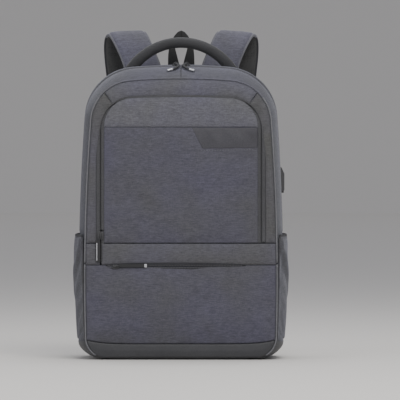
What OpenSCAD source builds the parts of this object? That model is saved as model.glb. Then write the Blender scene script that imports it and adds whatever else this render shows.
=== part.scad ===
// Business backpack with a curved main zip, front zip pocket, side pockets, USB charging port,
// carry handle, hang loop and padded shoulder straps. Millimetres. Front faces -Y, up is +Z.

/* [Bag body] */
// Height of the bag at the main zip
bag_height = 450; // [440:1:460]
// Half of the bag's width at the main zip, near the base
bag_half_width = 154.5; // [152:0.5:156]
// Height of the front face
front_height = 430; // [426:1:434]
// Half of the front face's width, near the base
front_half_width = 147; // [144:0.5:149]
// Distance from the main zip plane to the front face
front_depth = 83; // [78:1:86]
// Distance from the main zip plane to the back panel
rear_depth = 76; // [72:1:80]
// Thickness of the padded fabric walls
wall_t = 2; // [1.6:0.1:2.4]

/* [Front] */
// Half of the distance between the two sides of the front zip
zip_half_width = 123; // [120:0.5:125]
// Height of the top of the front zip
zip_top = 400; // [396:1:403]
// Height of the seam between the flap band and the centre panel
band_top = 178; // [174:1:182]
// Height of the horizontal seam under the upper band
upper_seam = 356; // [352:1:360]
// Height of the lower zip
lower_zip_z = 142.5; // [141:0.5:143]

/* [Side pockets] */
// Height of the pocket's elastic edge
pocket_height = 195; // [192:1:198]
// How far the pocket bulges past the side wall
pocket_bulge = 4.5; // [3:0.5:7]

/* [Handle, loop and straps] */
// Radius of the carry handle's arch, to the middle of the grip
handle_r = 92; // [88:0.5:93]
// Thickness of the carry handle's grip
grip_t = 15; // [13:0.5:16]
// Width of the padded shoulder strap
strap_w = 57; // [50:1:60]
// Thickness of the padded shoulder strap
strap_t = 11; // [9:0.5:12]
// Width of the adjusting webbing
webbing_w = 25; // [20:1:25]

/* [Hidden] */
// Depth positions
front_y = -front_depth;
plateau_front = -22;
plateau_rear = 4;
back_y = rear_depth;
zip_y = -9;
seam_gap = 0.4;
panel_t = 2;
face_y = front_y - panel_t - seam_gap;

// Outline at a depth: lower half width, upper half width, top, top corner radius, bottom corner radius
outline_front = [front_half_width, front_half_width - 7.5, front_height, 65, 30];
outline_zip = [bag_half_width, bag_half_width - 6.5, bag_height, 80, 28];
outline_back = [bag_half_width - 6, bag_half_width - 12, bag_height - 7, 80, 30];
crown_r = 900;
side_belly = 3;
base_t = 3;
side_steps = 8;
corner_steps = 8;
crown_steps = 6;
depth_steps = 5;

// Where the front section folds forward
fold_z = 146.5;
fold_gap = 1;
pocket_line = 193;
section_rise = (pocket_line - fold_z) / (plateau_front - front_y);

// Zip sizes
tape_t = 0.8;
tape_inset = 1;
coil_t = 2.2;
coil_w = 2;
coil_gap = 1.2;
tape_w = 11;
slider_len = 12;
slider_w = 9;
plate_t = 1.2;
post_t = 0.7;
main_zip_end = 196;
lower_zip_left = -112;
lower_zip_right = 94;

// Front zip half widths, from the middle of the coil
arch_r = 45;
arch_crown_r = 1800;
zip_edge = 5.5;
frame_edge = 6.3;

// Height where the closed end of the front zip is sewn down, just above the slider
zip_foot = 197;

// Lower zip: half width of its slot, and its smaller slider
lower_zip_edge = 3.7;
lower_slider_scale = 0.75;

// Shoulder strap path: x, y and z of the middle line, from the yoke to the ladder lock
strap_path = [
    [60, 91, 444.5], [63, 92, 456], [73, 95, 479], [84, 107, 498], [90, 120, 492], [90, 127, 468],
    [85, 129, 420], [79, 127, 350], [82, 121, 270], [98, 115, 195], [110, 112, 140]
];
strap_steps = 4;
strap_root = [60, 86, 443];
lock_pos = [112, 112, 121];
lock_size = [36, 5, 30];
anchor_x = 134;
anchor_z = 42;

// USB port
usb_y = 28;
usb_x = 152.7;
usb_low = 256;
usb_size = [7, 22, 37.5];
usb_hinge_x = usb_x + 1.4;

fabric_c = [0.34, 0.34, 0.37];
light_c = [0.41, 0.41, 0.44];
dark_c = [0.26, 0.26, 0.27];
black_c = [0.15, 0.15, 0.16];
metal_c = [0.75, 0.75, 0.77];
lining_c = [0.2, 0.2, 0.22];

// ---- Outline of the bag -------------------------------------------------------------------

function mix(a, b, t) = a + (b - a) * t;

// The outline grows from the front face to the main zip and shrinks again to the back panel
function outline_at(y) =
    y < plateau_front ? mix(outline_front, outline_zip, sin(90 * (y - front_y) / (plateau_front - front_y)))
    : y > plateau_rear
        ? mix(outline_zip, outline_back, 1 - cos(90 * (y - plateau_rear) / (back_y - plateau_rear)))
    : outline_zip;

function corner_x(o) = o[1] - o[3];
function corner_z(o) = o[2] - crown_r + sqrt(pow(crown_r - o[3], 2) - pow(corner_x(o), 2));
function side_foot(o) = base_t + o[4];
function side_share(o, z) = (z - side_foot(o)) / (corner_z(o) - side_foot(o));
function side_x(o, z) =
    mix(o[0], o[1], side_share(o, z)) + 4 * side_belly * side_share(o, z) * (1 - side_share(o, z));

function mirrored(half) = [for (i = [len(half) - 2 : -1 : 0]) [-half[i][0], half[i][1]]];

// Right half of the outline above low_z, from the side up to the middle of the top
function upper_half(o, inset, low_z) =
    let (
        cx = corner_x(o),
        cz = corner_z(o),
        join = atan2(cz - o[2] + crown_r, cx)
    )
    concat(
        [for (i = [0 : side_steps - 1]) let (z = mix(low_z, cz, i / side_steps)) [side_x(o, z) - inset, z]],
        [for (i = [0 : corner_steps - 1]) let (a = join * i / corner_steps)
            [cx + (o[3] - inset) * cos(a), cz + (o[3] - inset) * sin(a)]],
        [for (i = [0 : crown_steps]) let (a = mix(join, 90, i / crown_steps))
            [(crown_r - inset) * cos(a), o[2] - crown_r + (crown_r - inset) * sin(a)]]
    );

// Right half of the outline below high_z, from the side down to the middle of the bottom
function lower_half(o, inset, high_z) =
    let (
        cx = o[0] - o[4],
        cz = side_foot(o)
    )
    concat(
        [for (i = [0 : side_steps - 1]) let (z = mix(high_z, cz, i / side_steps)) [side_x(o, z) - inset, z]],
        [for (i = [0 : corner_steps]) let (a = -90 * i / corner_steps)
            [cx + (o[4] - inset) * cos(a), cz + (o[4] - inset) * sin(a)]],
        [[0, base_t + inset]]
    );

function upper_path(o, inset, low_z) =
    let (half = upper_half(o, inset, low_z)) concat(half, mirrored(half));
function lower_path(o, inset, high_z) =
    let (half = lower_half(o, inset, high_z)) concat(half, mirrored(half));

// Height at which the front section parts from the body, rising from the fold to the pocket line
function parting_z(y) = y > plateau_front ? pocket_line : fold_z + (y - front_y) * section_rise;

// ---- Solids from rings of points ----------------------------------------------------------

// A closed solid through equal rings of points; each end is closed between the ring's two halves
module skin(rings) {
    count = len(rings);
    size = len(rings[0]);
    top = (count - 1) * size;
    points = [for (ring = rings) each ring];
    sides = [for (i = [0 : count - 2], j = [0 : size - 1])
        let (
            a = i * size + j,
            b = i * size + (j + 1) % size
        )
        each [[a, a + size, b], [b, a + size, b + size]]];
    ends = [for (j = [0 : size / 2 - 2])
        let (
            a = j,
            b = j + 1,
            c = size - 2 - j,
            d = size - 1 - j
        )
        each [
            [a, b, d], [b, c, d],
            [top + d, top + b, top + a], [top + d, top + c, top + b]
        ]];
    polyhedron(points, concat(sides, ends));
}

// Wall that follows the upper outline between two depths
module upper_wall(y0, y1, inset, t, steps, low_gap, flat_low) {
    depths = [for (k = [0 : steps]) mix(y0, y1, k / steps)];
    function low(y) = flat_low > 0 ? flat_low : parting_z(y) + low_gap;
    outer = [for (y = depths) upper_path(outline_at(y), inset, low(y))];
    inner = [for (y = depths) upper_path(outline_at(y), inset + t, low(y))];
    skin([for (i = [0 : len(outer[0]) - 1]) concat(
        [for (k = [0 : steps]) [outer[k][i][0], depths[k], outer[k][i][1]]],
        [for (k = [steps : -1 : 0]) [inner[k][i][0], depths[k], inner[k][i][1]]]
    )]);
}

// Wall that follows the lower outline between two depths
module lower_wall(depths, inset, t, high_gap) {
    steps = len(depths) - 1;
    outer = [for (y = depths) lower_path(outline_at(y), inset, parting_z(y) - high_gap)];
    inner = [for (y = depths) lower_path(outline_at(y), inset + t, parting_z(y) - high_gap)];
    skin([for (i = [len(outer[0]) - 1 : -1 : 0]) concat(
        [for (k = [0 : steps]) [outer[k][i][0], depths[k], outer[k][i][1]]],
        [for (k = [steps : -1 : 0]) [inner[k][i][0], depths[k], inner[k][i][1]]]
    )]);
}

// Flat panel lying in the front view, from depth y0 towards the front
module front_plate(y0, t) {
    translate([0, y0, 0])
        rotate([90, 0, 0])
            linear_extrude(t)
                children();
}

module outline_shape(o, inset) {
    half = concat(
        [for (p = [len(lower_half(o, inset, fold_z)) - 1 : -1 : 1]) lower_half(o, inset, fold_z)[p]],
        upper_half(o, inset, fold_z)
    );
    polygon(concat(half, [for (i = [len(half) - 2 : -1 : 1]) [-half[i][0], half[i][1]]]));
}

module window(x0, x1, z0, z1) {
    translate([x0, z0])
        square([x1 - x0, z1 - z0]);
}

module wide_window(z0, z1) {
    window(-2 * bag_half_width, 2 * bag_half_width, z0, z1);
}

module rounded_rect(size, r) {
    translate([-size[0] / 2 + r, -size[1] / 2])
        square([size[0] - 2 * r, size[1]]);
    translate([-size[0] / 2, -size[1] / 2 + r])
        square([size[0], size[1] - 2 * r]);
    for (sx = [-1, 1], sz = [-1, 1])
        translate([sx * (size[0] / 2 - r), sz * (size[1] / 2 - r)])
            circle(r, $fn = 48);
}

module mirror_x() {
    mirror([1, 0, 0])
        children();
}

// ---- Front zip arch -----------------------------------------------------------------------

function arch_outline(spread) =
    [zip_half_width + spread, zip_half_width + spread, zip_top + spread, arch_r + spread, 0];

// Area inside the front zip, grown by spread
module arch_shape(spread) {
    o = arch_outline(spread);
    cx = o[0] - o[3];
    cz = o[2] - arch_crown_r + sqrt(pow(arch_crown_r - o[3], 2) - pow(cx, 2));
    join = atan2(cz - o[2] + arch_crown_r, cx);
    half = concat(
        [[o[0], fold_z]],
        [for (i = [0 : corner_steps]) let (a = join * i / corner_steps)
            [cx + o[3] * cos(a), cz + o[3] * sin(a)]],
        [for (i = [1 : crown_steps]) let (a = mix(join, 90, i / crown_steps))
            [arch_crown_r * cos(a), o[2] - arch_crown_r + arch_crown_r * sin(a)]]
    );
    polygon(concat(half, mirrored(half)));
}

module arch_ring(outer, inner) {
    difference() {
        arch_shape(outer);
        arch_shape(inner);
    }
}

// The zip ends at the flap band on the right and runs on down to the fold on the left
module front_zip_area() {
    window(-2 * zip_half_width, 0, fold_z + fold_gap + 1, bag_height);
    window(0, 2 * zip_half_width, band_top + 1, bag_height);
}

module front_zip_strip(t) {
    front_plate(face_y + panel_t / 2 + t / 2, t)
        children();
}

module outer_zip_area(outer, inner) {
    intersection() {
        arch_ring(outer, inner);
        front_zip_area();
    }
    intersection() {
        arch_ring(-inner, -outer);
        window(-2 * zip_half_width, 0, fold_z + fold_gap + 1, zip_foot - 0.4);
    }
}

module inner_zip_area(outer, inner) {
    difference() {
        intersection() {
            arch_ring(-inner, -outer);
            wide_window(band_top + 1.4, bag_height);
        }
        window(-2 * zip_half_width, 0, 0, zip_foot);
    }
}

module front_zip_tape_outer() {
    color(black_c)
        front_zip_strip(tape_t)
            outer_zip_area(zip_edge, coil_gap / 2 + coil_w + 0.1);
}

module front_zip_coil_outer() {
    color(black_c)
        front_zip_strip(coil_t)
            outer_zip_area(coil_gap / 2 + coil_w, coil_gap / 2);
}

module front_zip_tape_inner() {
    color(black_c)
        front_zip_strip(tape_t)
            inner_zip_area(zip_edge, coil_gap / 2 + coil_w + 0.1);
}

module front_zip_coil_inner() {
    color(black_c)
        front_zip_strip(coil_t)
            inner_zip_area(coil_gap / 2 + coil_w, coil_gap / 2);
}

// ---- Front section ------------------------------------------------------------------------

module front_gusset() {
    color(fabric_c)
        upper_wall(front_y, plateau_front - 0.2, 0, wall_t, depth_steps, fold_gap, 0);
}

module face_area() {
    outline_shape(outline_front, 0.4);
}

// Corner seam of the frame, from the outer seam to the zip
module corner_cut(gap) {
    for (side = [-1, 1])
        polygon([
            [0, upper_seam - 200 + gap],
            [side * 108, 390 + gap],
            [side * 122, 411 + gap],
            [side * 140, 438 + gap],
            [0, 480]
        ]);
}

module frame_area() {
    difference() {
        face_area();
        arch_shape(frame_edge);
    }
}

module front_frame_top() {
    color(light_c)
        front_plate(face_y + panel_t, panel_t)
            intersection() {
                frame_area();
                corner_cut(0.2);
            }
}

module front_frame_sides() {
    color(fabric_c)
        front_plate(face_y + panel_t, panel_t)
            difference() {
                frame_area();
                corner_cut(-0.2);
                wide_window(0, band_top + 0.2);
            }
}

module flap_band() {
    color(light_c)
        front_plate(face_y + panel_t, panel_t)
            difference() {
                intersection() {
                    face_area();
                    wide_window(fold_z + fold_gap, band_top - 0.2);
                }
                window(-zip_half_width - frame_edge, -zip_half_width + frame_edge, 0, bag_height);
                translate([-9, fold_z - 597])
                    circle(600, $fn = 360);
            }
}

module front_divider() {
    color(lining_c) {
        front_plate(plateau_front - 2, 2)
            intersection() {
                outline_shape(outline_zip, 7);
                wide_window(fold_z + 4, bag_height);
            }
        translate([-130, front_y + 2, fold_z + 4])
            cube([260, plateau_front - front_y - 5, 1.6]);
    }
}

// Round cord through points in the front view
module cord(points, y, r) {
    last = len(points) - 1;
    rings = [for (i = [0 : last])
        let (
            a = points[max(i - 1, 0)],
            b = points[min(i + 1, last)],
            d = (b - a) / norm(b - a)
        )
        [for (k = [0 : 7])
            [
                points[i][0] + r * cos(45 * k) * d[1],
                y + r * sin(45 * k),
                points[i][1] - r * cos(45 * k) * d[0]
            ]]];
    skin(rings);
}

module front_piping_upper() {
    color(light_c)
        cord(upper_path(outline_front, -1.1, fold_z + fold_gap + 1.5), face_y + 1, 1);
}

module main_piping() {
    color(light_c)
        cord(upper_path(outline_zip, -1.15, pocket_height + 1), plateau_front - 1.5, 1);
}

module main_zip_tape_front() {
    color(black_c)
        upper_wall(
            plateau_front, zip_y - coil_gap / 2 - coil_w - 0.1,
            tape_inset - tape_t / 2, tape_t, 1, 0, main_zip_end
        );
}

module main_zip_coil_front() {
    color(black_c)
        upper_wall(
            zip_y - coil_gap / 2 - coil_w, zip_y - coil_gap / 2,
            tape_inset - coil_t / 2, coil_t, 1, 0, main_zip_end
        );
}

module upper_band() {
    color(light_c)
        front_plate(face_y + panel_t, panel_t)
            intersection() {
                arch_shape(-frame_edge);
                wide_window(upper_seam + 0.2, bag_height);
            }
}

module centre_panel() {
    color(fabric_c)
        front_plate(face_y + panel_t, panel_t)
            intersection() {
                arch_shape(-frame_edge);
                wide_window(band_top + 1.4, upper_seam - 0.2);
            }
}

// Smooth patch with a slanted left end
module accent_patch() {
    color(dark_c)
        front_plate(face_y - 0.05, 0.8)
            polygon([[18, 353], [32, 323.5], [115, 325], [115, 353]]);
}

// ---- Body ---------------------------------------------------------------------------------

module base_panel() {
    color(dark_c)
        translate([0, -3, 0])
            linear_extrude(base_t - 0.1)
                rounded_rect([244, 148], 26);
}

module base_gusset() {
    depths = concat(
        [for (k = [0 : depth_steps]) mix(front_y, plateau_front, k / depth_steps)],
        [plateau_front + 0.5, plateau_rear],
        [for (k = [1 : depth_steps]) mix(plateau_rear, back_y, k / depth_steps)]
    );
    color(fabric_c)
        lower_wall(depths, 0, wall_t, 0);
}

module front_base_panel() {
    color(dark_c)
        front_plate(face_y + panel_t, panel_t)
            intersection() {
                face_area();
                wide_window(0, 27);
            }
}

module lower_pocket_panel() {
    color(fabric_c)
        front_plate(face_y + panel_t, panel_t)
            difference() {
                intersection() {
                    face_area();
                    wide_window(27.4, fold_z - 0.2);
                }
                window(
                    lower_zip_left - 2, lower_zip_right + 2,
                    lower_zip_z - lower_zip_edge - 0.3, fold_z + 1
                );
            }
}

module lower_zip_strip(z0, z1, t) {
    front_plate(face_y + panel_t / 2 + t / 2, t)
        window(lower_zip_left, lower_zip_right, z0, z1);
}

module lower_zip_tape() {
    color(black_c) {
        lower_zip_strip(lower_zip_z - lower_zip_edge, lower_zip_z - coil_gap / 2 - coil_w - 0.1, tape_t);
        lower_zip_strip(lower_zip_z + coil_gap / 2 + coil_w + 0.1, lower_zip_z + lower_zip_edge, tape_t);
    }
}

module lower_zip_coil() {
    color(black_c) {
        lower_zip_strip(lower_zip_z - coil_gap / 2 - coil_w, lower_zip_z - coil_gap / 2, coil_t);
        lower_zip_strip(lower_zip_z + coil_gap / 2, lower_zip_z + coil_gap / 2 + coil_w, coil_t);
    }
}

module front_piping_lower() {
    color(light_c)
        cord(lower_path(outline_front, -1.1, fold_z - 0.6), face_y + 1, 1);
}

// Side pocket wall, standing off the side wall and bulging in the middle
pocket_y0 = -66;
pocket_y1 = 52;
pocket_low = 27;
pocket_steps = 12;
pocket_rows = 6;

function pocket_stand(y, z) =
    0.5 + 3.4 * pow(max(0, (z - pocket_low) / (pocket_height - pocket_low)), 1.5)
    + pocket_bulge * sin(180 * (y - pocket_y0) / (pocket_y1 - pocket_y0))
        * sin(40 + 110 * (z - pocket_low) / (pocket_height - pocket_low));

module pocket_wall(z0, z1, rows, t, lift) {
    skin([for (i = [pocket_steps : -1 : 0])
        let (y = mix(pocket_y0, pocket_y1, i / pocket_steps), o = outline_at(y))
        concat(
            [for (k = [0 : rows]) let (z = mix(z0, z1, k / rows))
                [side_x(o, z) + pocket_stand(y, z) + lift + t, y, z]],
            [for (k = [rows : -1 : 0]) let (z = mix(z0, z1, k / rows))
                [side_x(o, z) + pocket_stand(y, z) + lift, y, z]]
        )]);
}

module side_pocket_right() {
    color(fabric_c)
        pocket_wall(pocket_low, pocket_height - 7.2, pocket_rows, 1.6, 0);
}

module side_pocket_left() {
    mirror_x()
        side_pocket_right();
}

module pocket_binding_right() {
    color(black_c)
        pocket_wall(pocket_height - 7, pocket_height, 1, 2.4, -0.4);
}

module pocket_binding_left() {
    mirror_x()
        pocket_binding_right();
}

// Walls of the rear of the bag, with a way through for the charging cable
module rear_gusset() {
    color(fabric_c)
        difference() {
            upper_wall(plateau_rear + 0.3, back_y, 0, wall_t, depth_steps, 0, pocket_line + 0.3);
            translate([usb_x - 12, usb_y, usb_low + 22])
                rotate([0, 90, 0])
                    cylinder(h = 20, r = 4, $fn = 48);
        }
}

module back_panel() {
    color(black_c)
        front_plate(back_y + 5.9, 5.6)
            outline_shape(outline_back, 0.4);
}

module back_pad(x, z, size) {
    front_plate(back_y + 12, 6)
        translate([x, z])
            rounded_rect(size, 16);
}

module back_pads() {
    color(black_c) {
        for (side = [-1, 1]) {
            back_pad(side * 62, 330, [88, 130]);
            back_pad(side * 62, 180, [88, 130]);
        }
        back_pad(0, 72, [212, 60]);
    }
}

module laptop_divider() {
    color(lining_c)
        front_plate(41, 5)
            translate([0, 170])
                rounded_rect([286, 310], 22);
}

module main_zip_tape_rear() {
    color(black_c)
        upper_wall(
            zip_y + coil_gap / 2 + coil_w + 0.1, plateau_rear,
            tape_inset - tape_t / 2, tape_t, 1, 0, main_zip_end
        );
}

module main_zip_coil_rear() {
    color(black_c)
        upper_wall(
            zip_y + coil_gap / 2, zip_y + coil_gap / 2 + coil_w,
            tape_inset - coil_t / 2, coil_t, 1, 0, main_zip_end
        );
}

// ---- Carry handle and hang loop -----------------------------------------------------------

handle_y = 35;
handle_pivot_z = 451;
handle_top = 484.5;

module handle_roots() {
    color(black_c)
        front_plate(handle_y + 1, 2)
            for (side = [-1, 1])
                polygon([
                    [side * 66, 447], [side * 66, handle_pivot_z - 1],
                    [side * 84, handle_pivot_z - 1], [side * 84, 445.6]
                ]);
}

// Padded arch: a flattened round grip swept along a circle and cut level at the pivots
module carry_handle() {
    color(black_c)
        intersection() {
            translate([0, handle_y, handle_top - handle_r])
                rotate([90, 0, 0])
                    rotate([0, 0, 30])
                        rotate_extrude(angle = 120, $fn = 180)
                            translate([handle_r, 0])
                                circle(grip_t / 2, $fn = 48);
            translate([-120, handle_y - 20, handle_pivot_z])
                cube([240, 40, 80]);
        }
}

module hang_loop() {
    color(black_c)
        front_plate(80, 2)
            difference() {
                polygon([
                    [-20.5, 446], [-20.5, 462], [-18, 477], [-12, 489.5], [-5, 499], [0, 501.5],
                    [5, 499], [12, 489.5], [18, 477], [20.5, 462], [20.5, 446]
                ]);
                polygon([
                    [-2, 445], [-6, 462], [-9.6, 477], [-6, 486], [0, 490],
                    [6, 486], [9.6, 477], [6, 462], [2, 445]
                ]);
            }
}

// ---- Zip sliders and pulls ----------------------------------------------------------------

// Slider on a zip that runs along X, coil plane at z = 0, outside of the bag up
module slider_body() {
    plate_z = 1.6;
    for (side = [-1, 1])
        translate([-slider_len / 2, -slider_w / 2, side > 0 ? plate_z : -plate_z - plate_t])
            cube([slider_len, slider_w, plate_t]);
    translate([slider_len / 2 - 4, -post_t / 2, -plate_z - 0.1])
        cube([3, post_t, 2 * plate_z + 0.2]);
    for (side = [-1, 1], level = [-1, 1])
        translate([-slider_len / 2 + 2, side * (slider_w / 2 - 0.5) - 0.5, level > 0 ? 0.7 : -plate_z - 0.1])
            cube([slider_len - 4, 1, plate_z - 0.6]);
    for (end = [-1, 1])
        translate([end * 3.2 - 0.8, -1, plate_z + plate_t - 0.1])
            cube([1.6, 2, 2.2]);
    translate([-4, -1, plate_z + plate_t + 1.9])
        cube([8, 2, 1]);
}

// Pull lying along +X, with its cross bar under the slider's bridge at x = 0
module pull_tab(length, width) {
    eye_z = 3.75;
    bar = 1.2;
    eye_len = 6;
    eye_w = 3;
    translate([0, width / 2, eye_z])
        rotate([90, 0, 0])
            cylinder(h = width, d = bar, $fn = 32);
    difference() {
        translate([0, -width / 2, eye_z - bar / 2])
            cube([length, width, bar]);
        translate([-1, -eye_w / 2, eye_z - bar])
            cube([eye_len + 1, eye_w, 2 * bar]);
    }
}

main_slider_x = 8;

// Moves a slider to its place on the curved top, right of the middle
module on_main_zip() {
    translate([0, zip_y, bag_height - crown_r])
        rotate([0, main_slider_x / crown_r * 180 / PI, 0])
            translate([0, 0, crown_r - tape_inset])
                children();
}

module main_slider_right() {
    color(metal_c)
        on_main_zip()
            slider_body();
}

module main_slider_left() {
    mirror_x()
        main_slider_right();
}

// Pull that rings the slider's bridge and drapes forward over the edge of the main zip
module main_pull_right() {
    ring_z = 5.2;
    ring_r = 2.1;
    bore_r = 1.2;
    ring_w = 3.6;
    tab_w = 6;
    tab_t = 1.2;
    neck_end = -4;
    drape = [
        [-3.6, ring_z], [-14, 4.6], [-26, 2.6], [-38, -0.9], [-47, -4.2], [-53, -6.9]
    ];
    last = len(drape) - 1;
    color(black_c)
        on_main_zip() {
            translate([-ring_w / 2, 0, ring_z])
                rotate([0, 90, 0])
                    difference() {
                        cylinder(h = ring_w, r = ring_r, $fn = 48);
                        translate([0, 0, -1])
                            cylinder(h = ring_w + 2, r = bore_r, $fn = 48);
                    }
            translate([-ring_w / 2, neck_end, ring_z - tab_t / 2])
                cube([ring_w, -neck_end - ring_r + 0.2, tab_t]);
            rotate([0, 0, 16])
                translate([-tab_w / 2 + 0.6, 0, 0])
                    rotate([90, 0, 90])
                        linear_extrude(tab_w)
                            polygon(concat(
                                [for (p = drape) p + [0, tab_t / 2]],
                                [for (i = [last : -1 : 0]) drape[i] - [0, tab_t / 2]]
                            ));
        }
}

module main_pull_left() {
    mirror_x()
        main_pull_right();
}

front_slider_z = 190;

module on_front_zip() {
    translate([-zip_half_width, face_y + panel_t / 2, front_slider_z])
        rotate([0, 90, 0])
            rotate([90, 0, 0])
                children();
}

module front_slider() {
    color(metal_c)
        on_front_zip()
            slider_body();
}

module front_pull() {
    color(black_c)
        on_front_zip()
            pull_tab(40, 9);
}

lower_slider_x = -100;

module on_lower_zip() {
    translate([lower_slider_x, face_y + panel_t / 2, lower_zip_z])
        rotate([90, 0, 0])
            scale(lower_slider_scale)
                children();
}

module lower_slider() {
    color(metal_c)
        on_lower_zip()
            slider_body();
}

module lower_pull() {
    color(black_c)
        on_lower_zip()
            pull_tab(60, 6.8);
}

// ---- USB port on the right side wall ------------------------------------------------------

socket_size = [5.4, 13.4, 12];

module usb_housing() {
    color(black_c)
        difference() {
            translate([usb_x, usb_y + usb_size[1] / 2, usb_low])
                rotate([90, 0, 0])
                    linear_extrude(usb_size[1])
                        polygon([
                            [0, 0], [usb_size[0] - 1, 0], [usb_size[0], 3], [usb_size[0], usb_size[2] - 10],
                            [usb_size[0] - 4.5, usb_size[2]], [0, usb_size[2]]
                        ]);
            translate([usb_x + 0.8, usb_y - socket_size[1] / 2, usb_low - 1])
                cube([socket_size[0], socket_size[1], socket_size[2] + 1]);
            translate([usb_x - 1, usb_y, usb_low + 22])
                rotate([0, 90, 0])
                    cylinder(h = 4, r = 2.2, $fn = 48);
        }
}

// Metal shell of the socket, open downwards, with its contact tongue
module usb_socket() {
    gap = 0.1;
    shell = 0.4;
    outer = [socket_size[0] - 2 * gap, socket_size[1] - 2 * gap, socket_size[2] - gap];
    color(metal_c)
        translate([usb_x + 0.8 + gap, usb_y - outer[1] / 2, usb_low]) {
            difference() {
                cube(outer);
                translate([shell, shell, -1])
                    cube([outer[0] - 2 * shell, outer[1] - 2 * shell, outer[2]]);
            }
            translate([1.9, 1.6, 1])
                cube([1.5, outer[1] - 3.2, outer[2] - 1.5]);
        }
}

module usb_cover() {
    color(black_c)
        translate([usb_hinge_x, usb_y - 8, usb_low - 1.9])
            cube([usb_x + usb_size[0] - usb_hinge_x - 1, 16, 1.6]);
}

cable_r = 1.75;
cable_bend = 12;
cable_x = usb_x - 16;
cable_low = 120;

// Charging cable inside the bag: through the side wall, round a bend and down to its plug
module usb_cable() {
    color(black_c) {
        translate([cable_x + cable_bend, usb_y, usb_low + 22])
            rotate([0, 90, 0])
                cylinder(h = usb_x + 1.5 - cable_x - cable_bend, r = cable_r, $fn = 48);
        translate([cable_x + cable_bend, usb_y, usb_low + 22 - cable_bend])
            rotate([90, 0, 0])
                rotate([0, 0, 90])
                    rotate_extrude(angle = 90, $fn = 96)
                        translate([cable_bend, 0])
                            circle(cable_r, $fn = 48);
        translate([cable_x, usb_y, cable_low])
            cylinder(h = usb_low + 22 - cable_bend - cable_low, r = cable_r, $fn = 48);
        translate([cable_x - 4, usb_y - 8, cable_low - 20])
            cube([8, 16, 20.5]);
        translate([cable_x - 2.3, usb_y - 6, cable_low - 32])
            cube([4.6, 12, 12.5]);
    }
}

// ---- Shoulder straps ----------------------------------------------------------------------

module strap_yoke() {
    color(fabric_c)
        front_plate(back_y + 10.2, 4)
            polygon([
                [-88, 437], [-30, 441], [30, 441], [88, 437], [82, 410], [30, 402], [-30, 402], [-82, 410]
            ]);
}

// Smooth curve through the strap's path points
function curve(a, b, c, d, t) =
    b + (c - a) * t / 2 + (2 * a - 5 * b + 4 * c - d) * t * t / 2 + (3 * b - 3 * c + d - a) * t * t * t / 2;

function path_points(path, steps) =
    let (last = len(path) - 1)
    concat(
        [for (i = [0 : last - 1], k = [0 : steps - 1])
            curve(path[max(i - 1, 0)], path[i], path[i + 1], path[min(i + 2, last)], k / steps)],
        [path[last]]
    );

// Flat band along a path: its width stays level along X, its thickness turns with the path
module band(points, w0, w1, taper_from, t) {
    last = len(points) - 1;
    skin([for (i = [0 : last])
        let (
            along = points[min(i + 1, last)] - points[max(i - 1, 0)],
            n = [0, along[2], -along[1]] / norm([along[1], along[2]]),
            w = mix(w0, w1, max(0, i / last - taper_from) / (1 - taper_from)) / 2,
            edge = t * 0.3
        )
        [for (p = [
            [w, -edge / 2], [w, edge / 2], [w - edge, t / 2], [edge - w, t / 2],
            [-w, edge / 2], [-w, -edge / 2], [edge - w, -t / 2], [w - edge, -t / 2]
        ])
            points[i] + [p[0], 0, 0] + p[1] * n]]);
}

module shoulder_strap_right() {
    color(fabric_c)
        band(path_points(strap_path, strap_steps), strap_w, 34, 0.75, strap_t);
}

module shoulder_strap_left() {
    mirror_x()
        shoulder_strap_right();
}

// Slotted buckle at the lower end of the strap
module ladder_lock_right() {
    slot = [webbing_w + 1.5, 4.5];
    color(black_c)
        front_plate(lock_pos[1] + lock_size[1] / 2, lock_size[1])
            translate([lock_pos[0], lock_pos[2]])
                difference() {
                    rounded_rect([lock_size[0], lock_size[2]], 3);
                    for (level = [-8, 0, 8])
                        translate([0, level])
                            square(slot, center = true);
                }
}

module ladder_lock_left() {
    mirror_x()
        ladder_lock_right();
}

module webbing_tail_right() {
    tail = [
        [lock_pos[0], lock_pos[1] + 5.5, lock_pos[2] + 6],
        [lock_pos[0], lock_pos[1] + 6.5, lock_pos[2] - 20],
        [lock_pos[0] + 3, lock_pos[1] + 7.5, lock_pos[2] - 60],
        [lock_pos[0] + 8, lock_pos[1] + 7, lock_pos[2] - 100]
    ];
    color(black_c)
        band(path_points(tail, strap_steps), webbing_w, webbing_w, 0.9, 1.6);
}

module webbing_tail_left() {
    mirror_x()
        webbing_tail_right();
}

module strap_webbing_right() {
    low = [
        [lock_pos[0] + 2, lock_pos[1] - 1, lock_pos[2] - lock_size[2] / 2 - 1.5],
        [lock_pos[0] + 8, lock_pos[1] - 7, 84], [anchor_x - 5, 96, 62], [anchor_x, back_y + 13, anchor_z]
    ];
    color(black_c)
        band(path_points(low, strap_steps), webbing_w, webbing_w, 0.9, 1.8);
}

module strap_webbing_left() {
    mirror_x()
        strap_webbing_right();
}

// Triangular tab that holds the webbing at the lower corner of the back panel
module strap_anchor_right() {
    color(fabric_c)
        front_plate(back_y + 9.2, 3)
            polygon([[118, 40], [121, 50], [145, 60], [146, 34], [136, 24]]);
}

module strap_anchor_left() {
    mirror_x()
        strap_anchor_right();
}

// ---- Choose what is drawn -----------------------------------------------------------------

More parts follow.
